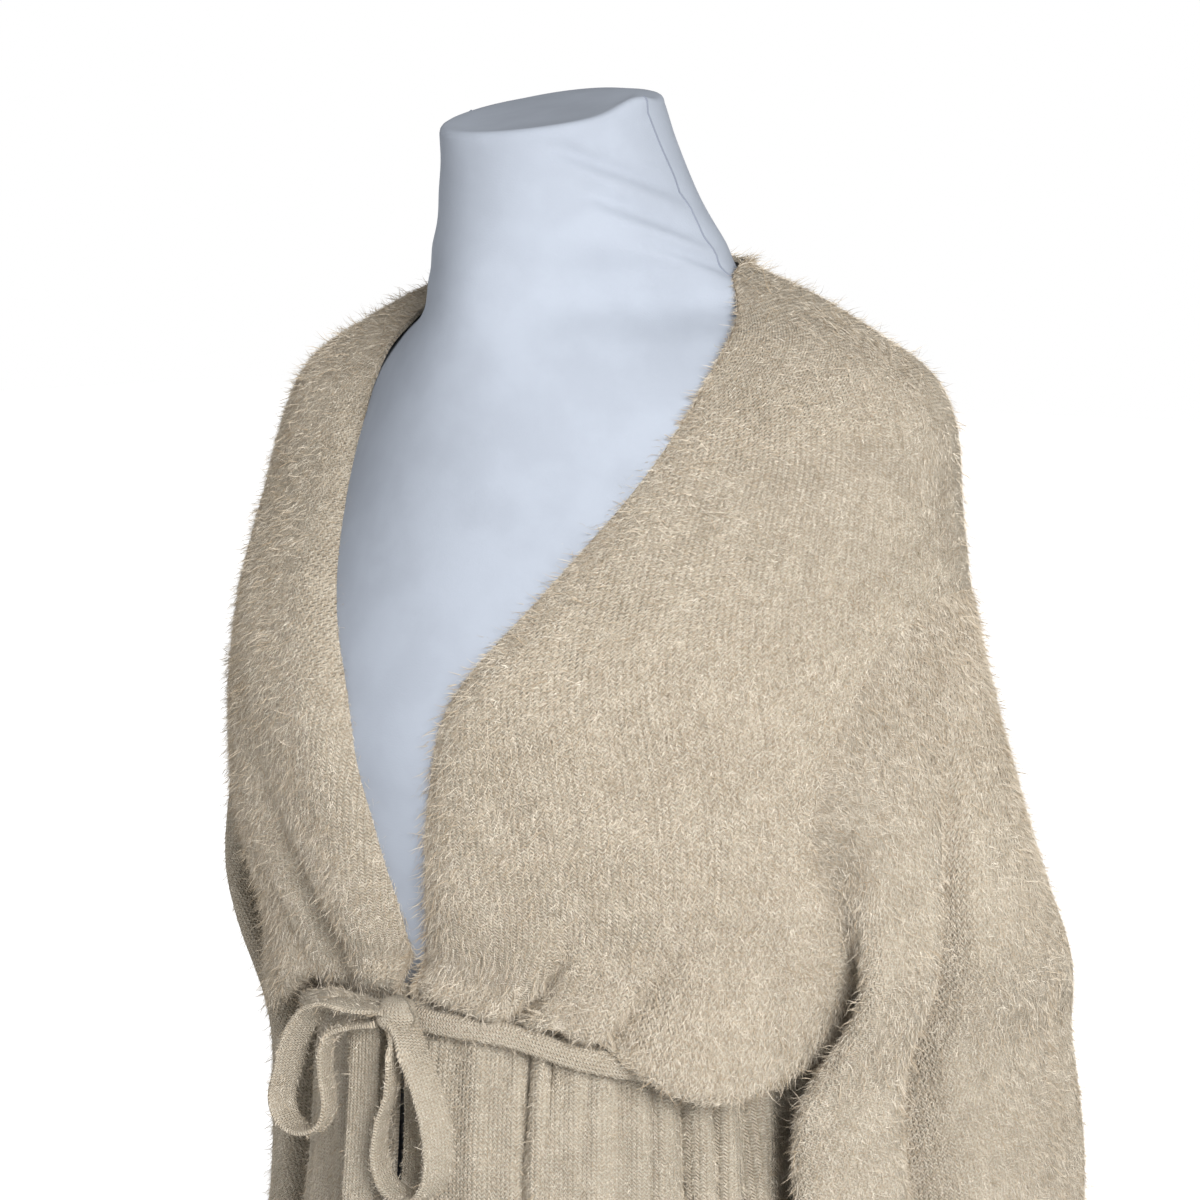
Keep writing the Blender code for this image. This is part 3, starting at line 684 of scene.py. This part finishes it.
def fine_creases(angle, level):
    """Small folds of the bodice that ride on the large ones, out of the cloth where positive."""
    out = -crease_depth(FINE_CREASES, *FINE_CREASE_RUN, angle, level)
    near_tie = smooth(*PUCKER_LEVELS, level)
    for centre, half_width, depth in TIE_PUCKERS:
        out = out - depth * near_tie * bell(turn_between(angle, centre), half_width)
    for turns, waves, phase, height in BODICE_SWELLS:
        swell = np.sin(np.radians(angle) * turns + phase) * np.sin(level * waves + 1.7 * phase)
        out = out + height * swell * smooth(1.5, 4.0, level) * (1 - smooth(10.5, 11.5, level))
    return out - NECK_DRAW * (1 - smooth(0.0, NECK_DRAW_LEVELS, level))


def bodice_cloth(angle, level):
    """The bodice with its small folds, and the bags of cloth that lie on the tie."""
    bag_out, drop = blousing(FINE_BLOUSES, FINE_BLOUSE_LEVEL, FINE_BLOUSE_SPREAD, angle, level)
    out = fine_creases(angle, level) + bag_out
    return bodice_point(angle, level) + outward(angle) * out[..., None] - UP * drop[..., None]


def skirt_cloth(angle, level):
    """The skirt with the small gathers between its large ones."""
    fall = level / (len(SKIRT_RINGS) - 1)
    out = 0.0 * angle
    for centre, half_width, depth, reach in FINE_GATHERS:
        drift = turn_between(angle, centre + GATHER_DRIFT * fall * np.sin(centre))
        out = out - depth * bell(fall, reach) * bell(drift, half_width)
    for turns, waves, phase, height in SKIRT_SWELLS:
        swell = np.sin(np.radians(angle) * turns + phase + 0.9 * fall) * np.cos(level * waves + phase)
        out = out + height * swell * smooth(0.05, 0.6, fall)
    return skirt_point(angle, level) + outward(angle) * out[..., None]


def run_lengths(line):
    """Distance from the first of a line of points to each of them."""
    steps = np.linalg.norm(np.diff(line, axis=0), axis=-1)
    return np.concatenate([[0.0], np.cumsum(steps)])


def grid_uvs(angle, level, surface, last, radius):
    """Places on the flat knit, in metres: round the body and down the cloth."""
    levels = np.linspace(0.0, last, UV_LEVELS)
    lengths = run_lengths(surface(UV_ANGLE + 0 * levels, levels))
    return np.stack([np.radians(angle) * radius, np.interp(level, levels, lengths)], -1)


def add_object(name, data):
    made = bpy.data.objects.new(name, data)
    bpy.context.scene.collection.objects.link(made)
    return made


def make_object(name, vertices, faces, material, uvs=None):
    mesh = bpy.data.meshes.new(name)
    mesh.from_pydata(vertices.tolist(), [], faces)
    mesh.polygons.foreach_set("use_smooth", [True] * len(mesh.polygons))
    mesh.set_sharp_from_angle(angle=np.radians(SHARP_ANGLE))
    if uvs is not None:
        loops = np.zeros(len(mesh.loops), int)
        mesh.loops.foreach_get("vertex_index", loops)
        layer = mesh.uv_layers.new(name="knit")
        layer.data.foreach_set("uv", uvs[loops].reshape(-1))
    mesh.materials.append(material)
    return add_object(name, mesh)


def grid_quads(rows, columns, spans):
    """Faces of a grid of points, which closes on itself where it has as many spans as columns."""
    i, j = np.meshgrid(np.arange(rows - 1), np.arange(spans), indexing="ij")
    k = (j + 1) % columns
    quads = np.stack([i * columns + j, i * columns + k, (i + 1) * columns + k, (i + 1) * columns + j], -1)
    return quads.reshape(-1, 4)


def capped_tube(rows, columns, turned=False):
    """Faces of a tube of rings that has a flat face at each end."""
    quads = grid_quads(rows, columns, columns)
    first = tuple(range(columns))
    last = tuple(range((rows - 1) * columns, rows * columns))
    if turned:
        return quads[:, [0, 3, 2, 1]].tolist() + [first, last[::-1]]
    return quads.tolist() + [first[::-1], last]


def shell(name, points, normals, uvs, material, tube):
    """Thin closed shell on both sides of a grid of points."""
    rows, columns = points.shape[:2]
    flat = points.reshape(-1, 3)
    lift = normals.reshape(-1, 3) * WALL / 2
    vertices = np.concatenate([flat + lift, flat - lift])
    inner = rows * columns
    outer = grid_quads(rows, columns, columns if tube else columns - 1)[:, [0, 3, 2, 1]]
    start, below, beside = flat[outer[:, 0]], flat[outer[:, 1]], flat[outer[:, 3]]
    if (np.cross(below - start, beside - start) * lift[outer[:, 0]]).sum() < 0:
        outer = outer[:, ::-1]
    edges = np.concatenate([outer[:, [n, (n + 1) % 4]] for n in range(4)])
    known = set(map(tuple, edges.tolist()))
    rims = [(e, s, s + inner, e + inner) for s, e in known if (e, s) not in known]
    faces = outer.tolist() + (outer[:, ::-1] + inner).tolist() + rims
    both = np.concatenate([uvs.reshape(-1, 2), uvs.reshape(-1, 2)])
    return make_object(name, vertices, faces, material, both)


def roots_of_hairs(points, normals, count, tube, edges, rng):
    """Random places on a grid of points, by area, with a share of them along the named edges."""
    rows, columns = points.shape[:2]
    spans = columns if tube else columns - 1
    i, j = np.meshgrid(np.arange(rows - 1), np.arange(spans), indexing="ij")
    i, j = i.reshape(-1), j.reshape(-1)
    k = (j + 1) % columns
    area = np.linalg.norm(np.cross(points[i + 1, j] - points[i, j], points[i, k] - points[i, j]), axis=-1)
    if tube and "top" in edges:
        area = area * (1 + SEAM_PILE * bell(i, SEAM_PILE_ROWS))
    pick = rng.choice(len(i), count, p=area / area.sum())
    i, j = i[pick], j[pick]
    u = rng.random((count, 1))
    v = rng.random((count, 1))
    moved = rng.random(count) < (EDGE_SHARE if edges else 0.0)
    side = rng.integers(0, max(1, len(edges)), count)
    for n, edge in enumerate(edges):
        at = moved & (side == n)
        if edge in ("left", "right"):
            i[at] = rng.integers(0, rows - 1, at.sum())
            j[at] = 0 if edge == "left" else spans - 1
            u[at] = EDGE_GAP if edge == "left" else 1 - EDGE_GAP
        else:
            j[at] = rng.integers(0, spans, at.sum())
            i[at] = 0 if edge == "top" else rows - 2
            v[at] = EDGE_GAP if edge == "top" else 1 - EDGE_GAP
    k = (j + 1) % columns

    def blend(grid):
        top = grid[i, j] * (1 - u) + grid[i, k] * u
        low = grid[i + 1, j] * (1 - u) + grid[i + 1, k] * u
        return top * (1 - v) + low * v

    normal = unit(blend(normals))
    fall = unit(blend(np.gradient(points, axis=0)))
    return blend(points) + normal * ROOT_LIFT, normal, fall


def hair_mesh(name, root, middle, tip, across, shade, bent):
    """Blades from root to tip. The first ones are bent: a quad to the middle and a triangle beyond it."""
    left, right = root - across, root + across
    bent_blades = np.stack([left, right, middle + across, middle - across, tip], 1)[:bent]
    straight_blades = np.stack([left, right, tip], 1)[bent:]
    first = np.arange(bent) * 5
    quads = np.stack([first, first + 1, first + 2, first + 3], -1).reshape(-1)
    tips = np.stack([first + 3, first + 2, first + 4], -1).reshape(-1)
    straight = len(straight_blades)
    corners = np.concatenate([quads, tips, bent * 5 + np.arange(straight * 3)])
    starts = np.concatenate([np.arange(bent) * 4, bent * 4 + np.arange(bent + straight) * 3])
    mesh = bpy.data.meshes.new(name)
    mesh.vertices.add(bent * 5 + straight * 3)
    blades = np.concatenate([bent_blades.reshape(-1), straight_blades.reshape(-1)])
    mesh.vertices.foreach_set("co", blades)
    mesh.loops.add(len(corners))
    mesh.loops.foreach_set("vertex_index", corners)
    mesh.polygons.add(len(starts))
    mesh.polygons.foreach_set("loop_start", starts)
    mesh.update(calc_edges=True)
    tint = mesh.attributes.new("tint", "FLOAT", "POINT")
    tint.data.foreach_set("value", np.concatenate([np.repeat(shade[:bent], 5), np.repeat(shade[bent:], 3)]))
    return mesh


def fibres(name, points, normals, count, tube, seed, material, edges, reach):
    """Brushed pile: short straight hairs that lie in tufts, and a few long bent ones that stand off."""
    rng = np.random.default_rng(seed)
    root, normal, fall = roots_of_hairs(points, normals, count, tube, edges, rng)
    side = np.cross(normal, fall)
    standing = np.arange(count)[:, None] < count * LONG_SHARE

    def drawn(measure):
        long_ones = rng.uniform(*LONG_HAIR[measure], (count, 1))
        return np.where(standing, long_ones, rng.uniform(*SHORT_HAIR[measure], (count, 1)))

    x, y, z = root.T[..., None]
    swirl = 0.8 * np.sin(83 * x + 47 * z + seed) + 0.7 * np.sin(71 * z - 59 * y + 2 * seed)
    clump = 0.5 + 0.25 * np.sin(151 * x + 97 * z + seed) + 0.25 * np.sin(119 * z - 83 * y + 61 * x)
    turn = 0.4 * swirl + rng.normal(0.0, 0.8, (count, 1))
    lying = fall * np.cos(turn) + side * np.sin(turn)
    way = unit(lying + normal * drawn("lift"))
    length = drawn("length") * reach
    flat = unit(np.cross(way, rng.normal(0, 1, (count, 3))))
    across = flat * drawn("width")
    middle = root + way * length * 0.5
    on_bend = 0.55 * lying * rng.normal(0.4, 0.8, (count, 1))
    side_bend = 0.5 * side * rng.normal(0, 0.8, (count, 1))
    bend = unit(way + on_bend + side_bend)
    tip = np.where(standing, middle + bend * length * 0.5, root + way * length)
    shade = np.clip(0.12 * clump[:, 0] + 0.88 * rng.random(count), 0.0, 1.0)
    shade = np.where(standing[:, 0], LONG_SHADE * shade, shade)
    mesh = hair_mesh(name, root, middle, tip, across, shade, int(count * LONG_SHARE))
    mesh.materials.append(material)
    return add_object(name, mesh)


def feed(tree, socket, value):
    """Link a socket to an input, or set any other value as its default."""
    if isinstance(value, bpy.types.NodeSocket):
        tree.links.new(value, socket)
    else:
        socket.default_value = value


def feed_all(tree, shader, values):
    for name, value in values.items():
        feed(tree, shader.inputs[name], value)


def node(tree, kind, **inputs):
    """New shader node with its inputs fed by name, or by number where the name is _0, _1 and so on."""
    made = tree.nodes.new(kind)
    for key, value in inputs.items():
        feed(tree, made.inputs[int(key[1:])] if key[1:].isdigit() else made.inputs[key], value)
    return made


def maths(tree, operation, first, second=0.0):
    made = node(tree, "ShaderNodeMath", _0=first, _1=second)
    made.operation = operation
    return made.outputs[0]


def times(tree, first, second):
    return maths(tree, "MULTIPLY", first, second)


def ramp(tree, value, low, high, start, end):
    """Value from start to end as the input goes from low to high."""
    made = node(tree, "ShaderNodeMapRange", _0=value, _1=low, _2=high, _3=start, _4=end)
    made.interpolation_type = "SMOOTHSTEP"
    return made.outputs[0]


def mix_colour(tree, share, first, second):
    made = node(tree, "ShaderNodeMix", _0=share, _6=first, _7=second)
    made.data_type = "RGBA"
    return made.outputs[2]


def noise(tree, where, scale, detail):
    return node(tree, "ShaderNodeTexNoise", Vector=where, Scale=scale, Detail=detail).outputs[0]


def new_material(name):
    material = bpy.data.materials.new(name)
    material.use_nodes = True
    return material, material.node_tree, material.node_tree.nodes["Principled BSDF"]


def stocking_stitch(tree, uv, stitch):
    """Height of the V-shaped stitches: slanting legs, with a valley between the wales."""
    split = node(tree, "ShaderNodeSeparateXYZ", _0=uv)
    column = maths(tree, "FRACT", maths(tree, "DIVIDE", split.outputs[0], stitch))
    wale = maths(tree, "ABSOLUTE", maths(tree, "SUBTRACT", column, 0.5))
    row = maths(tree, "DIVIDE", split.outputs[1], stitch * COURSE_SHARE)
    course = maths(tree, "ADD", row, times(tree, wale, LEG_SLANT))
    leg = times(tree, maths(tree, "SINE", times(tree, course, 2 * np.pi)), 0.5)
    between = maths(tree, "POWER", maths(tree, "SUBTRACT", 0.5, wale), 2.0)
    return maths(tree, "ADD", leg, times(tree, between, -3.0))


def knit_material(name, mid, stitch, depth, cover):
    """Heathered stocking stitch, half hidden in patches by its brushed fibres, with painted shade in its
    grain's pits and its stitch hollows.
    """
    material, tree, shader = new_material(name)
    where = tree.nodes.new("ShaderNodeTexCoord")
    stitches = stocking_stitch(tree, where.outputs["UV"], stitch)
    patches = noise(tree, where.outputs["Object"], PATCH_SCALE, 1.0)
    grain = noise(tree, where.outputs["Object"], GRAIN_SCALE, 1.0)
    bare = ramp(tree, patches, 0.40, 0.62, 1.0, cover)
    shown = times(tree, stitches, bare)
    height = maths(tree, "ADD", shown, times(tree, grain, 1.1))
    bump = node(tree, "ShaderNodeBump", Strength=0.9, Distance=depth, Height=height)
    # Painted shade: the hollows between the stitches are mixed towards the dark brown.
    hollow_shade = times(tree, ramp(tree, stitches, -0.9, 0.2, 0.45, 0.0), bare)
    colour = mix_colour(tree, ramp(tree, patches, 0.25, 0.75, 0.42, 0.58), mid, KNIT_LIGHT)
    # Painted shade: the pits of the fine grain, where the bump is low, are mixed towards the dark brown.
    colour = mix_colour(tree, ramp(tree, grain, 0.40, 0.62, 0.34, 0.0), colour, KNIT_PIT_SHADE)
    colour = mix_colour(tree, hollow_shade, colour, KNIT_PIT_SHADE)
    surface = {
        "Base Color": colour,
        "Normal": bump.outputs[0],
        "Roughness": 1.0,
        "Specular IOR Level": 0.1,
        "Sheen Weight": 0.25,
        "Sheen Roughness": 0.6,
        "Sheen Tint": KNIT_SHEEN,
    }
    feed_all(tree, shader, surface)
    return material


def hair_material(name):
    """Matt hairs, each between dark and light by its own tint."""
    material, tree, shader = new_material(name)
    tint = tree.nodes.new("ShaderNodeAttribute")
    tint.attribute_name = "tint"
    colour = mix_colour(tree, tint.outputs["Fac"], HAIR_DARK, HAIR_LIGHT)
    lit = node(tree, "ShaderNodeBsdfDiffuse", Color=colour)
    tree.links.new(lit.outputs[0], tree.nodes["Material Output"].inputs["Surface"])
    tree.nodes.remove(shader)
    return material


def jersey_material(name, colour):
    """Smooth jersey with a fine weave and a faint unevenness."""
    material, tree, shader = new_material(name)
    where = tree.nodes.new("ShaderNodeTexCoord")
    weave = noise(tree, where.outputs["Object"], WEAVE_SCALE, 2.0)
    lint = noise(tree, where.outputs["Object"], LINT_SCALE, 3.0)
    bump = node(tree, "ShaderNodeBump", Strength=0.25, Distance=0.0004, Height=weave)
    grey = tuple(LINT_SHADE * c for c in colour[:3]) + (1.0,)
    shade = mix_colour(tree, ramp(tree, lint, 0.35, 0.65, 0.0, 1.0), grey, colour)
    surface = {
        "Base Color": shade,
        "Normal": bump.outputs[0],
        "Roughness": 0.85,
        "Specular IOR Level": 0.15,
    }
    feed_all(tree, shader, surface)
    return material


def belongs(piece):
    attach(piece, "root")


def add_cloth(name, points, normals, uvs, look, seed, edges, tube=False):
    """One cut piece of the cardigan with its pile."""
    cloth = shell(name + "_cloth", points, normals, uvs, look["knit"], tube)
    reach = SKIRT_REACH if name.startswith("skirt") else 1.0
    pile = fibres(name + "_pile", points, normals, HAIRS[name], tube, seed, look["hair"], edges, reach)
    for piece in (cloth, pile):
        belongs(piece)
    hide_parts(name)


def add_panel(name, surface, angle, level, last, radius, look, seed, edges):
    """A piece of the bodice or the skirt, from its angles and levels."""
    points = surface(angle, level)
    normals = surface_normals(surface, angle, level, last)
    uvs = grid_uvs(angle, level, surface, last, radius)
    add_cloth(name, points, normals, uvs, look, seed, edges)


def bodice_pieces(look):
    angle, level = front_grid(FRONT_COLUMNS)
    back_angle, back_level = back_grid(BACK_COLUMNS)
    panels = (
        ("bodice_front_left", angle, level, 11, ("left",)),
        ("bodice_front_right", 180 - angle, level, 12, ("left",)),
        ("bodice_back", back_angle, back_level, 13, ("top",)),
    )
    for name, angles, levels, seed, edges in panels:
        add_panel(name, bodice_cloth, angles, levels, WAIST, BODICE_RADIUS, look, seed, edges)


def sleeve_pieces(look):
    points, normals = (np.roll(grid, ARM_STEPS, axis=1) for grid in sleeve_grid())
    steps = np.linalg.norm(np.diff(points, axis=0), axis=-1).mean(axis=1)
    drop = np.concatenate([[0.0], np.cumsum(steps)])
    across = np.linalg.norm(np.diff(points, axis=1, prepend=points[:, :1]), axis=-1)
    uvs = np.stack(np.broadcast_arrays(np.cumsum(across, axis=1), drop[:, None]), -1)
    edges = ("top", "low")
    add_cloth("sleeve_left", points, normals, uvs, look, 21, edges, True)
    add_cloth("sleeve_right", mirrored(points), mirrored(normals), uvs, look, 22, edges, True)


def skirt_pieces(look):
    last = len(SKIRT_RINGS) - 1
    level = last * np.linspace(0.0, 1.0, SKIRT_ROWS + 1)[:, None] ** 1.15
    edge = edge_angle(SKIRT_RINGS, level)
    panels = (
        ("skirt_front_left", edge, 0 * edge, 31, ("left", "low")),
        ("skirt_front_right", 180 + 0 * edge, 180 - edge, 32, ("right", "low")),
        ("skirt_back", 0 * edge, -180 + 0 * edge, 33, ("low",)),
    )
    for name, start, end, seed, edges in panels:
        count = int(abs(end - start).max() / SKIRT_STEP) + 1
        angle = start + (end - start) * np.linspace(0.0, 1.0, count)[None, :]
        add_panel(name, skirt_cloth, angle, level + 0 * angle, last, SKIRT_RADIUS, look, seed, edges)


def strap(name, path, across, width, thick, look, seed):
    """Knitted strap with soft rounded edges along a path, with a thin pile."""
    along = unit(np.gradient(path, axis=0))
    across = unit(across - along * (across * along).sum(-1, keepdims=True))
    through = np.cross(along, across)
    turn = np.linspace(0.0, 2 * np.pi, STRAP_SIDES + 1)[:-1]
    side = np.sign(np.cos(turn)) * np.abs(np.cos(turn)) ** 0.6 * width / 2
    face = np.sign(np.sin(turn)) * np.abs(np.sin(turn)) ** 0.8 * thick / 2
    points = path[:, None] + across[:, None] * side[None, :, None] + through[:, None] * face[None, :, None]
    faces = capped_tube(*points.shape[:2])
    uvs = np.stack(np.broadcast_arrays(side[None, :], run_lengths(path)[:, None]), -1)
    made = make_object(name, points.reshape(-1, 3), faces, look["tie"], uvs.reshape(-1, 2))
    normals = unit(points - path[:, None])
    sunk = points - normals * ROOT_LIFT
    pile = fibres(name + "_pile", sunk, normals, STRAP_HAIRS, True, seed, look["hair"], (), STRAP_REACH)
    return made, pile


def belt_path(side):
    """The rolled strap round the waist, from the knot to a side seam."""
    angle = np.linspace(BELT_ANGLES[0] + 5, BELT_ANGLES[1], STRAP_STEPS)
    turned = angle if side > 0 else 180 - angle
    path = ring_point(BODICE_RINGS, turned, WAIST + 0 * angle)
    path = path + outward(turned) * BELT_STAND_OFF
    path[:, 2] -= BELT_DROP - 0.0012 * np.sin(angle * 0.21)
    return path, UP + 0 * path


def loop_path(table):
    """A loop of the bow, which stands off the knot."""
    shape = spline(table, np.linspace(0, len(table) - 1, LOOP_STEPS))
    path = np.zeros((len(shape), 3)) + KNOT_CENTRE
    path[:, 0] += shape[:, 0]
    path[:, 2] += shape[:, 1]
    rise = np.sin(np.linspace(0, np.pi, len(shape)))
    path[:, 1] -= LOOP_STAND_OFF * np.clip(3 * rise, 0.35, 1.0)
    across = np.array([0.0, 1.0, 0.0]) + 0 * path
    across[:, 0] += 0.35 * np.sin(np.linspace(0, 2 * np.pi, len(shape)))
    return path, across


def tail_path(x, top_z, low_z, stand_off):
    """A free end of the tie, which hangs in front of the skirt."""
    z = np.linspace(top_z, low_z, STRAP_STEPS)
    front = np.interp(-z, [-row[4] for row in SKIRT_RINGS], [row[3] for row in SKIRT_RINGS])
    wave = 0.0015 * np.sin((top_z - z) * 40) * smooth(0.0, 0.05, top_z - z)
    path = np.stack([x + wave, -front - stand_off, z], -1)
    across = np.array([1.0, 0.0, 0.0]) + 0 * path
    across[:, 1] += 0.25 * np.sin((top_z - z) * 22)
    return path, across


def knot_piece(look):
    """The wrapped knot, a ball with slanting ridges."""
    up = np.linspace(-np.pi / 2 + 0.05, np.pi / 2 - 0.05, KNOT_ROWS)[:, None]
    turn = np.linspace(0, 2 * np.pi, KNOT_COLUMNS + 1)[None, :-1]
    ridge = 1 + 0.08 * np.cos(6 * up + 2 * turn)
    level = np.cos(up) * ridge
    ball = np.stack([level * np.cos(turn), level * np.sin(turn), np.sin(up) + 0 * turn], -1)
    points = ball * np.array(KNOT_RADII) * KNOT_SWELL + KNOT_CENTRE
    uvs = np.stack(np.broadcast_arrays(turn * KNOT_RADII[0], up * KNOT_RADII[0]), -1).reshape(-1, 2)
    faces = capped_tube(*points.shape[:2])
    knot = make_object("tie_knot_wrap", points.reshape(-1, 3), faces, look["tie"], uvs)
    belongs(knot)
    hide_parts("tie_knot")
    return knot


def tie_pieces(look):
    """The two straps in their stretches: round the waist, knot, loops and tails."""
    flat = (STRAP_WIDTH, STRAP_THICK)
    rolled = (BELT_WIDTH, BELT_THICK * BELT_SWELL)
    runs = (
        ("tie_left", belt_path(1), rolled, 41),
        ("tie_right", belt_path(-1), rolled, 41),
        ("bow_loop_left", loop_path(LEFT_LOOP), flat, 43),
        ("bow_loop_right", loop_path(RIGHT_LOOP), flat, 43),
        ("tie_tail_left", tail_path(*LEFT_TAIL), flat, 44),
        ("tie_tail_right", tail_path(*RIGHT_TAIL), flat, 44),
    )
    pieces = {}
    for name, (path, across), (width, thick), seed in runs:
        pieces[name] = strap(name + "_strap", path, across, width, thick, look, seed)
    knot = knot_piece(look)
    for name, (made, pile) in pieces.items():
        for piece in (made, pile):
            belongs(piece)
        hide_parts(name)
        width, length = CUTS[name]


def form_points():
    """Rings of the dress form with its pulled jersey, its swelling neck and its slanting cap."""
    turn = np.linspace(0, 2 * np.pi, FORM_ROUND + 1)[:-1]
    last = len(FORM_LEVELS) - 1
    rows = np.stack([form_section(level, turn) for level in np.linspace(0, last, FORM_ROWS)])
    top_z = rows[-1, 0, 2]
    middle = rows[-1, :, :2].mean(axis=0)
    slant = smooth(top_z - CAP_SLANT_DEPTH, top_z, rows[:, 0, 2])
    rows[:, :, 2] += slant[:, None] * CAP_SLOPE * (rows[:, :, 1] - middle[1])
    degrees = np.degrees(turn)[None, :]
    for start_turn, start_z, end_turn, end_z, half_width, depth in FORM_WRINKLES:
        along = np.clip(turn_between(degrees, start_turn) / (end_turn - start_turn), 0.0, 1.0)
        gap = (rows[:, :, 2] - start_z - (end_z - start_z) * along) / half_width
        apart = np.abs(turn_between(degrees, (start_turn + end_turn) / 2))
        reach = np.exp(-(np.clip(apart / (abs(end_turn - start_turn) * 0.6), 0, 9) ** 4))
        fold = depth * reach * (bell(gap, 1.0) - 0.5 * bell(gap + 1.6, 1.0))
        rows[:, :, :2] -= fold[..., None] * unit(rows[:, :, :2] - middle)
    for centre, spread, z, height, out in NECK_SWELLS:
        swell = out * bell(rows[:, :, 2] - z, height) * bell(turn_between(degrees, centre), spread)
        rows[:, :, :2] += swell[..., None] * unit(rows[:, :, :2] - middle)
    caps = []
    bump = CAP_BUMP * bell(turn_between(degrees[0], CAP_BUMP_TURN), CAP_BUMP_SPREAD)
    for inset, rise, raised in CAP_RINGS:
        ring = rows[-1].copy()
        ring[:, :2] -= unit(ring[:, :2] - middle) * CAP_ROUND * inset
        ring[:, 2] += CAP_ROUND * rise + bump * raised
        caps.append(ring)
    return np.concatenate([rows, np.stack(caps)])


def form_piece(look):
    """The dress form and the beads of its side seams."""
    points = form_points()
    faces = capped_tube(*points.shape[:2], turned=True)
    made = make_object("form_cover", points.reshape(-1, 3), faces, look["jersey"])
    belongs(made)
    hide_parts("dress_form")
    for name, column in (("form_seam_left", 0), ("form_seam_right", FORM_ROUND // 2)):
        line = bpy.data.curves.new(name, "CURVE")
        line.dimensions = "3D"
        line.bevel_depth = SEAM_BEAD
        line.bevel_resolution = 2
        run = points[SEAM_FIRST:SEAM_LAST, column]
        bead = line.splines.new("POLY")
        bead.points.add(len(run) - 1)
        bead.points.foreach_set("co", np.concatenate([run, np.ones((len(run), 1))], 1).reshape(-1))
        line.materials.append(look["stitch"])
        belongs(add_object(name, line))


def behind(tree, vector):
    """How far a place or direction lies behind the garment, and its height."""
    split = node(tree, "ShaderNodeSeparateXYZ", _0=vector)
    left = times(tree, split.outputs[0], BEHIND[0])
    back = times(tree, split.outputs[1], BEHIND[1])
    return maths(tree, "ADD", left, back), split.outputs[2]


def add_floor():
    """Pale floor that turns white behind the garment."""
    material, tree, shader = new_material("floor")
    where = tree.nodes.new("ShaderNodeTexCoord")
    far, _ = behind(tree, where.outputs["Object"])
    way = node(tree, "ShaderNodeVectorMath", _0=where.outputs["Object"])
    way.operation = "NORMALIZE"
    turned, _ = behind(tree, way.outputs[0])
    sector = ramp(tree, turned, *FLOOR_SECTOR, 0.0, 1.0)
    white = times(tree, sector, ramp(tree, far, *FLOOR_FADE, 0.0, 1.0))
    surface = {
        "Base Color": mix_colour(tree, white, FLOOR_GREY, FLOOR_WHITE),
        "Emission Strength": times(tree, white, FLOOR_GLOW),
        "Emission Color": WHITE,
        "Roughness": 1.0,
        "Specular IOR Level": 0.0,
    }
    feed_all(tree, shader, surface)
    corners = FLOOR_HALF * np.array([(-1, -1, 0), (1, -1, 0), (1, 1, 0), (-1, 1, 0)], float)
    make_object("floor", corners, [(0, 1, 2, 3)], material)


def add_world():
    """Soft light from all sides, with a white wall behind the garment."""
    world = bpy.data.worlds.new("studio")
    world.use_nodes = True
    tree = world.node_tree
    where = tree.nodes.new("ShaderNodeTexCoord")
    far, height = behind(tree, where.outputs["Generated"])
    sector = ramp(tree, far, *WALL_SECTOR, 0.0, 1.0)
    wall = times(tree, sector, ramp(tree, height, *WALL_FADE, 1.0 - SKY, 0.0))
    back = tree.nodes["Background"]
    tree.links.new(maths(tree, "ADD", wall, SKY), back.inputs["Strength"])
    back.inputs["Color"].default_value = WHITE
    bpy.context.scene.world = world


def aim_at(made, place, aim):
    made.location = place
    made.rotation_euler = (Vector(aim) - Vector(place)).to_track_quat("-Z", "Y").to_euler()


def add_lights_and_camera():
    for name, place, aim, size, power, colour in LIGHTS:
        light = bpy.data.lights.new(name, "AREA")
        light.size = size
        light.energy = power
        light.color = colour
        aim_at(add_object(name, light), place, aim)
    data = bpy.data.cameras.new("camera")
    data.lens = CAMERA_LENS
    data.sensor_width = CAMERA_SENSOR
    data.shift_x = CAMERA_SHIFT
    camera = add_object("camera", data)
    aim_at(camera, CAMERA_EYE, CAMERA_AIM)
    bpy.context.scene.camera = camera
    bpy.context.scene.view_settings.view_transform = "Standard"


def dress_frame():
    look = {
        "knit": knit_material("knit", KNIT_MID, *KNIT_STITCH),
        "tie": knit_material("tie_knit", TIE_MID, *TIE_STITCH),
        "hair": hair_material("pile"),
        "jersey": jersey_material("jersey", JERSEY),
        "stitch": jersey_material("seam_stitch", SEAM_GREY),
    }
    form_piece(look)
    bodice_pieces(look)
    sleeve_pieces(look)
    skirt_pieces(look)
    tie_pieces(look)
    add_floor()
    add_world()
    add_lights_and_camera()


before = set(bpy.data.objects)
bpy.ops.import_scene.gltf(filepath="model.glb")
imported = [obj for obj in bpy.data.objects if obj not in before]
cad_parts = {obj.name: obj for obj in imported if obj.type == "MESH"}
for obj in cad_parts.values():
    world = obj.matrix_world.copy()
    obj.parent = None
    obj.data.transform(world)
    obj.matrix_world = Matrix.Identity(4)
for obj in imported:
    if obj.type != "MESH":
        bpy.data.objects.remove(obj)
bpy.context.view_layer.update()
dress_frame()
